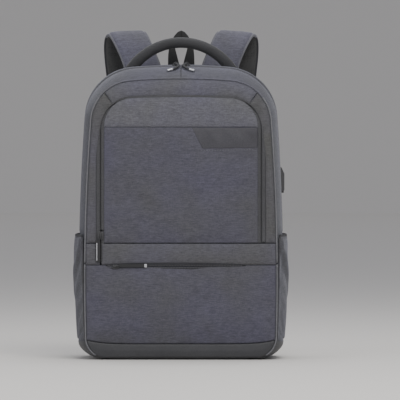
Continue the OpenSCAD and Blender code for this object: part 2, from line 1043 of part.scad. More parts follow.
base_panel();
base_gusset();
front_base_panel();
lower_pocket_panel();
lower_zip_tape();
lower_zip_coil();
front_piping_lower();
side_pocket_left();
side_pocket_right();
pocket_binding_left();
pocket_binding_right();
rear_gusset();
back_panel();
back_pads();
laptop_divider();
main_zip_tape_rear();
main_zip_coil_rear();
handle_roots();
strap_yoke();
usb_housing();
usb_socket();
usb_cable();
strap_anchor_left();
strap_anchor_right();
strap_webbing_left();
strap_webbing_right();
front_gusset();
front_frame_top();
front_frame_sides();
front_zip_tape_outer();
front_zip_coil_outer();
front_divider();
flap_band();
front_piping_upper();
main_piping();
main_zip_tape_front();
main_zip_coil_front();
upper_band();
centre_panel();
accent_patch();
front_zip_tape_inner();
front_zip_coil_inner();
main_slider_left();
main_slider_right();
main_pull_left();
main_pull_right();
front_slider();
front_pull();
lower_slider();
lower_pull();
carry_handle();
hang_loop();
usb_cover();
shoulder_strap_left();
shoulder_strap_right();
ladder_lock_left();
ladder_lock_right();
webbing_tail_left();
webbing_tail_right();
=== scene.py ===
import math
import bmesh
import bpy
import numpy as np
from mathutils import Matrix, Vector, noise
from mathutils.bvhtree import BVHTree


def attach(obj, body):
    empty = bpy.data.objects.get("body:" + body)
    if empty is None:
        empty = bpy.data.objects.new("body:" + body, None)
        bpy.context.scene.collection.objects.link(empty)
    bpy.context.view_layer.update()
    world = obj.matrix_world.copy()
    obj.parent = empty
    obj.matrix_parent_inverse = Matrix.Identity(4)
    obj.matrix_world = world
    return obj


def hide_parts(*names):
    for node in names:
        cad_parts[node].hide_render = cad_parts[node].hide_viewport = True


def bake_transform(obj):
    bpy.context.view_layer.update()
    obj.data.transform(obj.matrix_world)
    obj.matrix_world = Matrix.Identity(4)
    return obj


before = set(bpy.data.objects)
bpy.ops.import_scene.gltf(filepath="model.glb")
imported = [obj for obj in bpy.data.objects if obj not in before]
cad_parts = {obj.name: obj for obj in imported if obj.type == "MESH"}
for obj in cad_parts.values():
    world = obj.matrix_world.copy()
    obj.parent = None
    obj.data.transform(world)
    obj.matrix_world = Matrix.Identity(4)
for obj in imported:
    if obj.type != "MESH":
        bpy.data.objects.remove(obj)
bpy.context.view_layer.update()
MM = 0.001

# ---- Sizes of the bag in millimetres, in the CAD frame ------------------------------------------
BAG_H, HALF_W, FRONT_H, FRONT_HW = 450.0, 154.5, 430.0, 145.0
FRONT_Y, BACK_Y = -83.0, 76.0
ZIP_FRONT, ZIP_REAR, ZIP_Y = -22.0, 4.0, -9.0
FACE_Y = -85.4
ARCH_HW, ARCH_TOP = 123.0, 400.0
BAND_TOP, UPPER_SEAM = 178.0, 356.0
LOWER_ZIP_Z, SLIT_L, SLIT_R = 142.5, -112.0, 96.0
FOLD_Z, POCKET_H, POCKET_LINE = 146.5, 195.0, 193.0
CROWN_R, BELLY, BASE_T = 900.0, 4.2, 3.0
# Thickness of the padded front panels, the side walls, zip tapes and webbing, and the webbing's width
PANEL_T, WALL_T, TAPE_T, WEBBING_T, WEBBING_W = 2.2, 2.0, 0.8, 1.5, 25.0
# Outlines: half width at the foot and at the top, height, radius of the top and bottom corners
O_FRONT = np.array([FRONT_HW, FRONT_HW - 7.5, FRONT_H, 65, 30])
O_ZIP = np.array([HALF_W, HALF_W - 6.5, BAG_H, 80, 28])
O_BACK = np.array([HALF_W - 6, HALF_W - 12, BAG_H - 7, 80, 30])
SIDES = ((1, "right"), (-1, "left"))
# The front section's rear edge sinks a little below the zip along the top
O_SUNK = O_ZIP + np.array([0, 0, -2.0, 3.0, 0])


def outline_at(y):
    """Outline of the bag's wall at depth y, blended from the front to the zip and on to the back."""
    if y < ZIP_FRONT:
        t = math.sin(math.pi / 2 * max(0, (y - FRONT_Y) / (ZIP_FRONT - FRONT_Y)))
        return O_FRONT + (O_SUNK - O_FRONT) * t
    if y > ZIP_REAR:
        t = 1 - math.cos(math.pi / 2 * min(1, (y - ZIP_REAR) / (BACK_Y - ZIP_REAR)))
        return O_ZIP + (O_BACK - O_ZIP) * t
    return O_ZIP


def corner(o):
    """Centre of the outline's upper corner."""
    cx = o[1] - o[3]
    return cx, o[2] - CROWN_R + math.sqrt((CROWN_R - o[3]) ** 2 - cx * cx)


def side_x(o, z):
    """Half width at height z on the straight, slightly bellied part of the side."""
    foot = BASE_T + o[4]
    t = (z - foot) / (corner(o)[1] - foot)
    return o[0] + (o[1] - o[0]) * t + 4 * BELLY * t * (1 - t)


def upper_half(o, low, ns=40):
    """Right half of an outline from height low up to the middle of the top."""
    cx, cz = corner(o)
    join = math.atan2(cz - o[2] + CROWN_R, cx)
    pts = [(side_x(o, z), z) for z in np.linspace(low, cz, ns, endpoint=False)]
    turn = np.linspace(0, join, 16, endpoint=False)
    pts += [(cx + o[3] * math.cos(a), cz + o[3] * math.sin(a)) for a in turn]
    pts += [(CROWN_R * math.cos(a), o[2] - CROWN_R + CROWN_R * math.sin(a))
            for a in np.linspace(join, math.pi / 2, 19)]
    return pts


def lower_half(o, high):
    """Right half of an outline from height high down to the middle of the bottom."""
    cx, cz = o[0] - o[4], BASE_T + o[4]
    pts = [(side_x(o, z), z) for z in np.linspace(high, cz, 26, endpoint=False)]
    pts += [(cx + o[4] * math.cos(a), cz + o[4] * math.sin(a))
            for a in np.linspace(0, -math.pi / 2, 12, endpoint=False)]
    pts += [(x, BASE_T) for x in np.linspace(cx, 0, 15)]
    return pts


def both(half):
    """Right half, then its mirror image back to the start."""
    return np.array(half + [(-x, z) for x, z in half[-2::-1]], float)


def upper_path(o, low, ns=40):
    return both(upper_half(o, low, ns))


def lower_path(o, high):
    return both(lower_half(o, high))


def full_path(o):
    """The whole outline, once round."""
    up = upper_half(o, 150.0)
    low = lower_half(o, 150.0)[1:]
    half = up[::-1] + low
    return np.array(half + [(-x, z) for x, z in half[-2:0:-1]], float)


# ---- Materials ------------------------------------------------------------------------------

def new_material(name, rough=0.8, metal=0.0, sheen=0.0):
    m = bpy.data.materials.new(name)
    m.use_nodes = True
    nt = m.node_tree
    bsdf = nt.nodes["Principled BSDF"]
    bsdf.inputs["Roughness"].default_value = rough
    bsdf.inputs["Metallic"].default_value = metal
    bsdf.inputs["Sheen Weight"].default_value = sheen
    bsdf.inputs["Sheen Roughness"].default_value = 0.4
    bsdf.inputs["Specular IOR Level"].default_value = 0.3
    return m, nt, bsdf


def node(nt, kind, **values):
    n = nt.nodes.new(kind)
    for key, v in values.items():
        if key in n.inputs.keys():
            n.inputs[key].default_value = v
        else:
            setattr(n, key, v)
    return n


def noise_at(nt, scale3, detail, roughness):
    tc = node(nt, "ShaderNodeTexCoord")
    mp = node(nt, "ShaderNodeMapping")
    mp.inputs["Scale"].default_value = scale3
    nt.links.new(tc.outputs["Object"], mp.inputs["Vector"])
    nz = node(nt, "ShaderNodeTexNoise", Scale=1.0, Detail=detail, Roughness=roughness)
    nt.links.new(mp.outputs["Vector"], nz.inputs["Vector"])
    return nz.outputs["Fac"]


def ramp(nt, fac, stops):
    r = node(nt, "ShaderNodeValToRGB")
    el = r.color_ramp.elements
    while len(el) < len(stops):
        el.new(0.5)
    for e, (pos, c) in zip(el, stops):
        e.position = pos
        e.color = (*c, 1)
    nt.links.new(fac, r.inputs["Fac"])
    return r.outputs["Color"]


def math_node(nt, op, a, b=None):
    n = node(nt, "ShaderNodeMath", operation=op)
    for i, v in enumerate((a, b)):
        if v is None:
            continue
        if isinstance(v, (int, float)):
            n.inputs[i].default_value = v
        else:
            nt.links.new(v, n.inputs[i])
    return n.outputs[0]


def mix_colour(nt, fac, a, b, blend="MIX"):
    n = node(nt, "ShaderNodeMix", data_type="RGBA", blend_type=blend)
    for key, v in (("Factor", fac), ("A", a), ("B", b)):
        sock = [s for s in n.inputs if s.name == key and (s.type == "RGBA" or key == "Factor")][0]
        if isinstance(v, (int, float)):
            sock.default_value = v
        elif isinstance(v, tuple):
            sock.default_value = (*v, 1)
        else:
            nt.links.new(v, sock)
    return [s for s in n.outputs if s.type == "RGBA"][0]


def facing_up(nt):
    """How much the surface faces up or down, in the piece's own axes: 0 on a wall, 1 on a flat top."""
    tc = node(nt, "ShaderNodeTexCoord")
    sep = node(nt, "ShaderNodeSeparateXYZ")
    nt.links.new(tc.outputs["Normal"], sep.inputs["Vector"])
    return math_node(nt, "ABSOLUTE", sep.outputs["Z"])


def weave(nt, pitch, amount, bsdf, extra=None, extra_amount=0.0003):
    """Plain weave height from two crossed waves, with an optional second height."""
    tc = node(nt, "ShaderNodeTexCoord")
    waves = []
    for axis in ("X", "Z"):
        mp = node(nt, "ShaderNodeMapping")
        mp.inputs["Rotation"].default_value = (0, 0, 0.6) if axis == "X" else (0, 0, 0)
        nt.links.new(tc.outputs["Object"], mp.inputs["Vector"])
        w = node(nt, "ShaderNodeTexWave", Scale=0.5 / pitch / MM, Distortion=0.6, Detail=1.0)
        w.bands_direction = axis
        nt.links.new(mp.outputs["Vector"], w.inputs["Vector"])
        waves.append(w.outputs["Fac"])
    h = math_node(nt, "MAXIMUM", waves[0], waves[1])
    bump = node(nt, "ShaderNodeBump", Strength=amount, Distance=0.0004)
    nt.links.new(h, bump.inputs["Height"])
    if extra is not None:
        second = node(nt, "ShaderNodeBump", Strength=0.6, Distance=extra_amount)
        nt.links.new(extra, second.inputs["Height"])
        nt.links.new(bump.outputs["Normal"], second.inputs["Normal"])
        bump = second
    nt.links.new(bump.outputs["Normal"], bsdf.inputs["Normal"])


def heather(name, base, side=None):
    """Melange cloth: short flecks along the weft, fainter ones along the warp, slow fading.
    side is a colour factor that paints shade on the parts that stand upright."""
    m, nt, bsdf = new_material(name, rough=0.86, sheen=0.25)
    k = 1 / MM
    weft = noise_at(nt, (0.13 * k, 0.13 * k, 0.75 * k), 4.0, 0.75)
    weft_top = noise_at(nt, (0.13 * k, 0.24 * k, 0.13 * k), 4.0, 0.75)
    level = facing_up(nt)
    up = math_node(nt, "GREATER_THAN", level, 0.7)
    fl = node(nt, "ShaderNodeMix", data_type="FLOAT")
    nt.links.new(up, fl.inputs[0])
    nt.links.new(weft, fl.inputs[2])
    nt.links.new(weft_top, fl.inputs[3])
    warp = noise_at(nt, (1.2 * k, 1.2 * k, 0.14 * k), 2.0, 0.6)
    slow = noise_at(nt, (0.012 * k,) * 3, 2.0, 0.5)
    grain = noise_at(nt, (0.9 * k,) * 3, 1.0, 0.5)
    lo = tuple(c * 0.7 for c in base)
    hi = tuple(c * 1.3 for c in base)
    col = ramp(nt, fl.outputs[0], [(0.36, lo), (0.5, base), (0.64, hi)])
    col2 = ramp(nt, warp, [(0.34, lo), (0.52, base), (0.68, hi)])
    col = mix_colour(nt, 0.25, col, col2)
    speck = ramp(nt, grain, [(0.3, (0.72,) * 3), (0.5, (1.0,) * 3), (0.7, (1.3,) * 3)])
    col = mix_colour(nt, 0.45, col, speck, "MULTIPLY")
    fade = ramp(nt, slow, [(0.32, (0.97, 0.98, 0.88)), (0.68, (1.02, 1.01, 1.1))])
    col = mix_colour(nt, 1.0, col, fade, "MULTIPLY")
    # Painted shade: the side factor darkens the walls that stand upright
    if side:
        col = mix_colour(nt, 1.0, col, ramp(nt, level, [(0.1, side), (0.85, (1, 1, 1))]), "MULTIPLY")
    nt.links.new(col, bsdf.inputs["Base Color"])
    weave(nt, 1.1, 0.35, bsdf, extra=fl.outputs[0], extra_amount=0.00025)
    bsdf.inputs["Sheen Tint"].default_value = (0.85, 0.87, 1.0, 1)
    return m


def plain_cloth(name, base, rough=0.75, pitch=1.0, sheen=0.1, vary=0.12, bump=0.4):
    m, nt, bsdf = new_material(name, rough=rough, sheen=sheen)
    slow = noise_at(nt, (0.03 / MM,) * 3, 3.0, 0.6)
    fine = noise_at(nt, (0.7 / MM,) * 3, 1.0, 0.5)
    lo = tuple(c * (1 - vary) for c in base)
    hi = tuple(c * (1 + vary) for c in base)
    col = ramp(nt, slow, [(0.3, lo), (0.7, hi)])
    spk = ramp(nt, fine, [(0.3, (0.8,) * 3), (0.7, (1.2,) * 3)])
    nt.links.new(mix_colour(nt, 0.8, col, spk, "MULTIPLY"), bsdf.inputs["Base Color"])
    weave(nt, pitch, bump, bsdf)
    return m


def air_mesh(name, base):
    """Knitted spacer mesh: small round holes in staggered rows."""
    m, nt, bsdf = new_material(name, rough=0.8, sheen=0.15)
    tc = node(nt, "ShaderNodeTexCoord")
    vor = node(nt, "ShaderNodeTexVoronoi", Scale=420.0, Randomness=0.25)
    nt.links.new(tc.outputs["Object"], vor.inputs["Vector"])
    col = ramp(nt, vor.outputs["Distance"], [(0.12, tuple(c * 0.25 for c in base)), (0.34, base)])
    nt.links.new(col, bsdf.inputs["Base Color"])
    bump = node(nt, "ShaderNodeBump", Strength=0.8, Distance=0.0008)
    nt.links.new(vor.outputs["Distance"], bump.inputs["Height"])
    nt.links.new(bump.outputs["Normal"], bsdf.inputs["Normal"])
    return m


def hard(name, base, rough=0.45, metal=0.0, wear=0.12):
    """Moulded plastic, rubber or plated metal: fine grain, smudges and worn edges."""
    m, nt, bsdf = new_material(name, rough=rough, metal=metal)
    fine = noise_at(nt, (1.6 / MM,) * 3, 3.0, 0.6)
    slow = noise_at(nt, (0.08 / MM,) * 3, 3.0, 0.6)
    geo = node(nt, "ShaderNodeNewGeometry")
    edge = ramp(nt, geo.outputs["Pointiness"], [(0.5, (0, 0, 0)), (0.56, (1, 1, 1))])
    lo = tuple(c * 0.85 for c in base)
    hi = tuple(min(1.0, c * 1.15) for c in base)
    col = ramp(nt, slow, [(0.3, lo), (0.7, hi)])
    worn = tuple(min(1.0, c + wear) for c in base)
    nt.links.new(mix_colour(nt, edge, col, worn), bsdf.inputs["Base Color"])
    r = math_node(nt, "MULTIPLY_ADD", slow, 0.25)
    r.node.inputs[2].default_value = rough - 0.1
    nt.links.new(r, bsdf.inputs["Roughness"])
    bump = node(nt, "ShaderNodeBump", Strength=0.15, Distance=0.0002)
    nt.links.new(fine, bump.inputs["Height"])
    nt.links.new(bump.outputs["Normal"], bsdf.inputs["Normal"])
    return m


M = {
    "main": heather("heather_main", (0.0715, 0.0695, 0.0865)),
    "light": heather("heather_light", (0.1, 0.0985, 0.116)),
    "band": heather("heather_band", (0.078, 0.0765, 0.086)),
    "frame": heather("heather_frame", (0.092, 0.0905, 0.108)),
    # Painted shade: the frame's side strips are a darker copy of the frame cloth
    "frame_side": heather("heather_frame_side_painted_shade", (0.076, 0.0745, 0.081)),
    # Painted shade: the gusset is a darker copy of the front cloth, darkest on its upright walls
    "gusset": heather("heather_gusset_painted_shade", (0.06, 0.059, 0.07), side=(0.72, 0.73, 0.66)),
    "side_pocket": heather("heather_side_pocket", (0.05, 0.0495, 0.0525)),
    "strap": heather("heather_strap", (0.098, 0.096, 0.12)),
    "strap_rim": plain_cloth("strap_rim_cloth", (0.12, 0.12, 0.135), rough=0.7, pitch=1.0, bump=0.5),
    "coated": plain_cloth("coated_cloth", (0.043, 0.043, 0.046), rough=0.5, pitch=0.9, bump=0.2, vary=0.08),
    "patch": plain_cloth("patch_cloth", (0.0475, 0.046, 0.053), rough=0.55, pitch=0.8, bump=0.15, vary=0.06),
    "handle": plain_cloth("handle_cloth", (0.034, 0.034, 0.036), rough=0.7, pitch=1.3, sheen=0.2, bump=0.6),
    "webbing": plain_cloth("webbing_cloth", (0.025, 0.025, 0.025), rough=0.75, pitch=1.6, sheen=0.2, bump=0.8),
    "binding": plain_cloth("binding_cloth", (0.028, 0.028, 0.032), rough=0.8, pitch=1.4, bump=0.7),
    # Painted highlight: the piping's pale colour stands in for the light along the cord
    "piping": plain_cloth("piping_cloth_painted_highlight", (0.14, 0.14, 0.15), rough=0.7, pitch=0.9, bump=0.5),
    "lining": plain_cloth("lining_cloth", (0.05, 0.052, 0.06), rough=0.6, pitch=0.8, bump=0.2),
    "tape": plain_cloth("zip_tape_cloth", (0.064, 0.064, 0.068), rough=0.8, pitch=1.2, bump=0.6),
    "mesh": air_mesh("air_mesh", (0.045, 0.045, 0.045)),
    "thread": plain_cloth("thread", (0.16, 0.16, 0.17), rough=0.7, pitch=0.5),
    "coil": hard("zip_coil_nylon", (0.036, 0.036, 0.039), rough=0.4, wear=0.03),
    "dark_metal": hard("slider_metal", (0.018, 0.018, 0.02), rough=0.5, metal=0.1, wear=0.04),
    "silver": hard("silver_metal", (0.45, 0.45, 0.47), rough=0.38, metal=0.9, wear=0.1),
    "rubber": hard("pull_rubber", (0.013, 0.013, 0.014), rough=0.65, wear=0.02),
    "plastic": hard("black_plastic", (0.022, 0.022, 0.024), rough=0.42, wear=0.05),
}


# ---- Mesh helpers -----------------------------------------------------------------------------

def mesh_object(name, verts, faces, mats, face_mats=None):
    """verts in millimetres; mats is a list of keys into M."""
    me = bpy.data.meshes.new(name)
    me.from_pydata([tuple(float(c) * MM for c in v) for v in verts], [], [tuple(map(int, f)) for f in faces])
    for key in mats:
        me.materials.append(M[key])
    if face_mats is not None:
        me.polygons.foreach_set("material_index", face_mats)
    me.polygons.foreach_set("use_smooth", [True] * len(me.polygons))
    me.validate()
    me.update()
    ob = bpy.data.objects.new(name, me)
    bpy.context.scene.collection.objects.link(ob)
    return ob


def grid_normals(P, wrap):
    """Unit normals of a grid of points; wrap closes the grid in its first direction."""
    du = np.roll(P, -1, 0) - np.roll(P, 1, 0)
    if not wrap:
        du[0], du[-1] = P[1] - P[0], P[-1] - P[-2]
    dv = np.empty_like(P)
    dv[:, 1:-1] = P[:, 2:] - P[:, :-2]
    dv[:, 0], dv[:, -1] = P[:, 1] - P[:, 0], P[:, -1] - P[:, -2]
    n = np.cross(du, dv)
    return n / np.maximum(np.linalg.norm(n, axis=2, keepdims=True), 1e-9)


def closed_sheet(name, P, Q, mats, wrap=False, flip=False):
    """Closed sheet between two grids of points, P in front and Q behind. mats is (front and rim, back)."""
    a, b = P.shape[:2]
    off = a * b
    faces, back = [], []

    def quad(i, j, k, l, m=0):
        faces.append((l, k, j, i) if flip else (i, j, k, l))
        back.append(m)

    for i in range(a if wrap else a - 1):
        here, there = i * b, (i + 1) % a * b
        for j in range(b - 1):
            p, q, r, s = here + j, there + j, there + j + 1, here + j + 1
            quad(p, q, r, s)
            quad(off + s, off + r, off + q, off + p, 1)
        quad(here, off + here, off + there, there)
        p, q = here + b - 1, there + b - 1
        quad(p, q, off + q, off + p)
    if not wrap:
        for j in range(b - 1):
            quad(j, j + 1, off + j + 1, off + j)
            e = (a - 1) * b + j
            quad(e + 1, e, off + e, off + e + 1)
    verts = np.concatenate([P.reshape(-1, 3), Q.reshape(-1, 3)])
    return mesh_object(name, verts, faces, mats, back if len(mats) > 1 else None)


def shell(name, P, thick, mats, wrap=False, flip=False):
    """Closed sheet of cloth: P is the outer grid and the inner one lies thick behind it."""
    n = grid_normals(P, wrap) * (-1 if flip else 1)
    return closed_sheet(name, P, P - n * thick, mats, wrap, flip)


def ring_faces(rings, sides, base=0, closed=False):
    """Faces of a tube made of rings of points; its ends are capped unless it is closed."""
    faces = []
    for i in range(rings if closed else rings - 1):
        here, there = base + i * sides, base + (i + 1) % rings * sides
        for k in range(sides):
            k2 = (k + 1) % sides
            faces.append((here + k, here + k2, there + k2, there + k))
    if not closed:
        last = base + (rings - 1) * sides
        faces += [tuple(range(base + sides - 1, base - 1, -1)), tuple(range(last, last + sides))]
    return faces


def arc_length(path):
    """Distance along a polyline at each of its points."""
    return np.concatenate([[0], np.cumsum(np.linalg.norm(np.diff(path, axis=0), axis=1))])


def tube(name, path, radius, mats, sides=10, closed=False, flat=None, up=(0, 1, 0)):
    """Round or flattened cord along path. flat is (half width, half thickness), up the way its face looks."""
    path = np.asarray(path, float)
    n = len(path)
    T = np.empty_like(path)
    T[1:-1] = path[2:] - path[:-2]
    T[0], T[-1] = path[1] - path[0], path[-1] - path[-2]
    if closed:
        T[0] = path[1] - path[-1]
        T[-1] = path[0] - path[-2]
    T /= np.linalg.norm(T, axis=1, keepdims=True)
    verts = []
    ref = np.asarray(up, float)
    for i in range(n):
        s = np.cross(T[i], ref)
        s /= max(np.linalg.norm(s), 1e-9)
        u = np.cross(s, T[i])
        for k in range(sides):
            a = 2 * math.pi * k / sides
            if flat:
                c, d = math.cos(a), math.sin(a)
                sc = (abs(c) ** 4 + abs(d) ** 4) ** -0.25
                verts.append(path[i] + s * c * sc * flat[0] + u * d * sc * flat[1])
            else:
                verts.append(path[i] + (s * math.cos(a) + u * math.sin(a)) * radius)
    return mesh_object(name, verts, ring_faces(n, sides, closed=closed), mats)


def fix_normals(ob):
    bm = bmesh.new()
    bm.from_mesh(ob.data)
    bmesh.ops.recalc_face_normals(bm, faces=bm.faces)
    bm.to_mesh(ob.data)
    bm.free()
    return ob


def weld(ob):
    """Merges the points that fall together, so that a fan closes in its middle."""
    bm = bmesh.new()
    bm.from_mesh(ob.data)
    bmesh.ops.remove_doubles(bm, verts=bm.verts, dist=0.01 * MM)
    bm.to_mesh(ob.data)
    bm.free()
    return fix_normals(ob)


def stand_for(ob, body, *nodes):
    """Hangs a finished piece on its body and shows it in place of the CAD nodes."""
    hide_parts(*nodes)
    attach(ob, body)
    return ob


def join(name, obs):
    """Makes one object of several, in the order given."""
    bpy.ops.object.select_all(action="DESELECT")
    for o in obs:
        o.select_set(True)
    bpy.context.view_layer.objects.active = obs[0]
    bpy.ops.object.join()
    obs[0].name = name
    obs[0].data.name = name
    return obs[0]


def apply_modifiers(ob):
    dg = bpy.context.evaluated_depsgraph_get()
    me = bpy.data.meshes.new_from_object(ob.evaluated_get(dg))
    ob.modifiers.clear()
    ob.data = me
    return ob


def bevelled(ob, width, segments=2):
    m = ob.modifiers.new("bevel", "BEVEL")
    m.width = width * MM
    m.segments = segments
    m.limit_method = "ANGLE"
    m.angle_limit = math.radians(35)
    m.harden_normals = True
    return apply_modifiers(ob)


def prism(name, outline, low, high, mats, axis="z"):
    """Solid of constant section. outline is a list of (a, b); axis, y or z, is the way it is pulled."""
    place = {"z": lambda a, b, h: (a, b, h), "y": lambda a, b, h: (a, h, b)}[axis]
    n = len(outline)
    verts = [place(a, b, h) for h in (low, high) for a, b in outline]
    faces = [tuple(range(n - 1, -1, -1)), tuple(range(n, 2 * n))]
    faces += [(i, (i + 1) % n, n + (i + 1) % n, n + i) for i in range(n)]
    if axis == "y":
        faces = [f[::-1] for f in faces]
    return mesh_object(name, verts, faces, mats)


def round_rect(cx, cy, w, h, r, k=6):
    """Outline of a rounded rectangle, with k steps at each corner."""
    pts = []
    for sx, sy, a0 in ((1, 1, 0), (-1, 1, 90), (-1, -1, 180), (1, -1, 270)):
        for i in range(k + 1):
            a = math.radians(a0 + 90 * i / k)
            pts.append((cx + sx * (w / 2 - r) + r * math.cos(a), cy + sy * (h / 2 - r) + r * math.sin(a)))
    return pts


def facing(P, axis, sign):
    """Normals for a grid of points that all look the same way."""
    n = np.zeros_like(P)
    n[..., axis] = sign
    return n


def wavy(P, amount, size, seed, n):
    """Slow soft waves pushed along the given normals."""
    out = P.copy()
    for idx in np.ndindex(P.shape[:2]):
        p = P[idx]
        v = noise.noise(Vector((p[0] / size + seed, p[1] / size - seed, p[2] / size + 0.5 * seed)))
        out[idx] = p + n[idx] * v * amount
    return out


def edge_steps(n, near=(0.0, 0.35, 0.9, 1.8, 3.0, 4.6), length=100.0):
    """Positions 0..1 across a strip, close together at both edges."""
    near = [v / length for v in near]
    mid = list(np.linspace(near[-1], 1 - near[-1], n))[1:-1]
    return np.array(near + mid + [1 - v for v in near[::-1]])


def roll(d, r=2.4):
    """How far a panel has turned into its seam at distance d from the edge."""
    d = np.clip(d, 0, r)
    return r - np.sqrt(np.maximum(r * r - (r - d) ** 2, 0))


def edge_distance(P, line):
    """Distance in the front view from each grid point to a closed polygon line."""
    a = np.asarray(line, float)
    b = np.roll(a, -1, 0)
    q = P[..., [0, 2]].reshape(-1, 1, 2)
    ab = b - a
    t = np.clip(((q - a) * ab).sum(2) / np.maximum((ab * ab).sum(1), 1e-9), 0, 1)
    return np.linalg.norm(q - (a + t[..., None] * ab), axis=2).min(1).reshape(P.shape[:2])


# How firmly each point of a panel is held in the cloth simulation, by panel name
PIN = {}
# Cloth this close to a seam does not move in the simulation
SEAM_HELD = 2.6


def front_grid(grid2):
    """Points in the plane y = 0 from a grid of (x, z), with the grid's outline."""
    g = np.asarray(grid2, float)
    P = np.zeros(g.shape[:2] + (3,))
    P[..., 0], P[..., 2] = g[..., 0], g[..., 1]
    return P, np.concatenate([g[:, 0], g[-1, 1:], g[-2::-1, -1], g[0, -2:0:-1]])


def front_panel(name, grid2, mats, y, puff, seed, wave, roll_r, reach, thick=PANEL_T):
    """Soft panel in the front face: grid2 holds (x, z); its edges turn back into the seams.
    puff is how far it bulges, which it reaches within reach of its edge; roll_r is the edge's radius."""
    P, line = front_grid(grid2)
    d = edge_distance(P, line)
    lift = puff * (1 - np.exp(-d / (reach / 3)))
    P[..., 1] = y - lift + roll(d, roll_r)
    n = facing(P, 1, -1)
    amount = wave * np.clip(d / 8, 0, 1)[..., None]
    P = P + (wavy(P, 1.0, 42.0, seed, n) - P) * amount
    P = P + (wavy(P, 1.0, 15.0, seed + 3, n) - P) * amount * 0.35
    flip = np.cross(P[1, 0] - P[0, 0], P[0, 1] - P[0, 0])[1] > 0
    Q = P.copy()
    Q[..., 1] = y + thick
    held = np.where(d < SEAM_HELD, 1.0, np.clip((6.0 - d) / 12.0, 0, 1))
    PIN[name] = np.concatenate([held.ravel(), np.ones(d.size)])
    return closed_sheet(name, P, Q, mats, flip=flip)


def spline(points, steps):
    """Smooth curve through the points, with steps pieces between each two."""
    p = np.asarray(points, float)
    out = []
    for i in range(len(p) - 1):
        a, b, c, d = p[max(i - 1, 0)], p[i], p[i + 1], p[min(i + 2, len(p) - 1)]
        for k in range(steps):
            t = k / steps
            out.append(b + (c - a) * t / 2 + (2 * a - 5 * b + 4 * c - d) * t * t / 2
                       + (3 * b - 3 * c + d - a) * t ** 3 / 2)
    out.append(p[-1])
    return np.array(out)


def resample(line, n):
    """Points along a polyline: n of them evenly spaced, or one at each share of its length in n."""
    line = np.asarray(line, float)
    s = arc_length(line)
    t = np.asarray(n, float) * s[-1] if hasattr(n, "__len__") else np.linspace(0, s[-1], n)
    return np.stack([np.interp(t, s, line[:, k]) for k in range(line.shape[1])], 1)


def piece_of(line, start, end):
    """Part of a polyline between the points nearest to start and end."""
    dense = resample(line, 1200)
    i = int(np.argmin(np.linalg.norm(dense - np.array(start), axis=1)))
    j = int(np.argmin(np.linalg.norm(dense - np.array(end), axis=1)))
    return dense[i:j + 1] if i <= j else dense[j:i + 1][::-1]


STITCH, STITCH_GAP, THREAD_R = 2.6, 1.5, 0.34


def stitches(name, path, normal, lift=0.15):
    """Row of small thread stitches along a path, lying on the cloth."""
    path = np.asarray(path, float)
    s = arc_length(path)
    verts, faces = [], []
    at = 0.0
    n = np.asarray(normal, float)
    while at + STITCH < s[-1]:
        ends = [np.array([np.interp(at + k * STITCH, s, path[:, c]) for c in range(3)]) for k in (0, 0.5, 1)]
        t = ends[2] - ends[0]
        t /= max(np.linalg.norm(t), 1e-9)
        side = np.cross(t, n)
        base = len(verts)
        for k, c in enumerate(ends):
            r = THREAD_R * (1.0 if k == 1 else 0.45)
            c = c + n * (lift if k == 1 else -0.1)
            for q in range(5):
                a = 2 * math.pi * q / 5
                verts.append(c + (side * math.cos(a) + n * math.sin(a)) * r)
        faces += ring_faces(3, 5, base)
        at += STITCH + STITCH_GAP
    return mesh_object(name, verts, faces, ["thread"])


SIM_FRAMES, CLOTH_STIFF, CLOTH_BEND = 14, 15.0, 0.5


def inflate(ob, pin, pressure, cap, slack):
    """Cloth simulation: pressure pushes the loose cloth out between its pinned seams.
    cap is the furthest that a point may move, slack how much longer the cloth is than its pattern."""
    me = ob.data
    rest = np.array([v.co for v in me.vertices])
    group = ob.vertex_groups.new(name="pin")
    for i, w in enumerate(pin):
        if w > 0:
            group.add([i], float(w), "REPLACE")
    c = ob.modifiers.new("cloth", "CLOTH")
    st = c.settings
    st.quality = 5
    st.mass = 0.3
    st.tension_stiffness = st.compression_stiffness = CLOTH_STIFF
    st.shear_stiffness = CLOTH_STIFF * 0.5
    st.bending_stiffness = CLOTH_BEND
    st.use_pressure = True
    st.uniform_pressure_force = pressure
    st.effector_weights.gravity = 0
    st.vertex_group_mass = "pin"
    st.shrink_min = -slack
    c.collision_settings.use_collision = False
    c.point_cache.frame_start = 1
    c.point_cache.frame_end = SIM_FRAMES
    for f in range(1, SIM_FRAMES + 1):
        bpy.context.scene.frame_set(f)
    cloth = ob.evaluated_get(bpy.context.evaluated_depsgraph_get())
    now = np.array([v.co for v in cloth.data.vertices])
    ob.modifiers.clear()
    ob.vertex_groups.clear()
    bpy.context.scene.frame_set(1)
    move = now - rest
    size = np.linalg.norm(move, axis=1, keepdims=True)
    print("cloth", ob.name, "largest move mm", round(float(size.max() / MM), 2))
    move *= cap * MM * np.tanh(size / (cap * MM)) / np.maximum(size, 1e-9)
    me.vertices.foreach_set("co", (rest + move).ravel())
    me.update()
    return ob


def lay_on(ob, panel, level):
    """Moves a flat piece made at depth level on to the front surface of a panel."""
    tree = BVHTree.FromPolygons([v.co for v in panel.data.vertices],
                                [f.vertices[:] for f in panel.data.polygons])
    for v in ob.data.vertices:
        hit = tree.ray_cast(Vector((v.co.x, -1.0, v.co.z)), Vector((0, 1, 0)))[0]
        if hit is not None:
            v.co.y += hit.y - level * MM
    ob.data.update()
    return ob


COATED_TOP = 28.5


def coated_foot(ob):
    """The lowest part of a wall is made of the coated cloth."""
    ob.data.materials.append(M["coated"])
    last = len(ob.data.materials) - 1
    for f in ob.data.polygons:
        if f.material_index == 0 and f.center.z < COATED_TOP * MM:
            f.material_index = last
    return ob


# ---- Walls of the bag ---------------------------------------------------------------------------

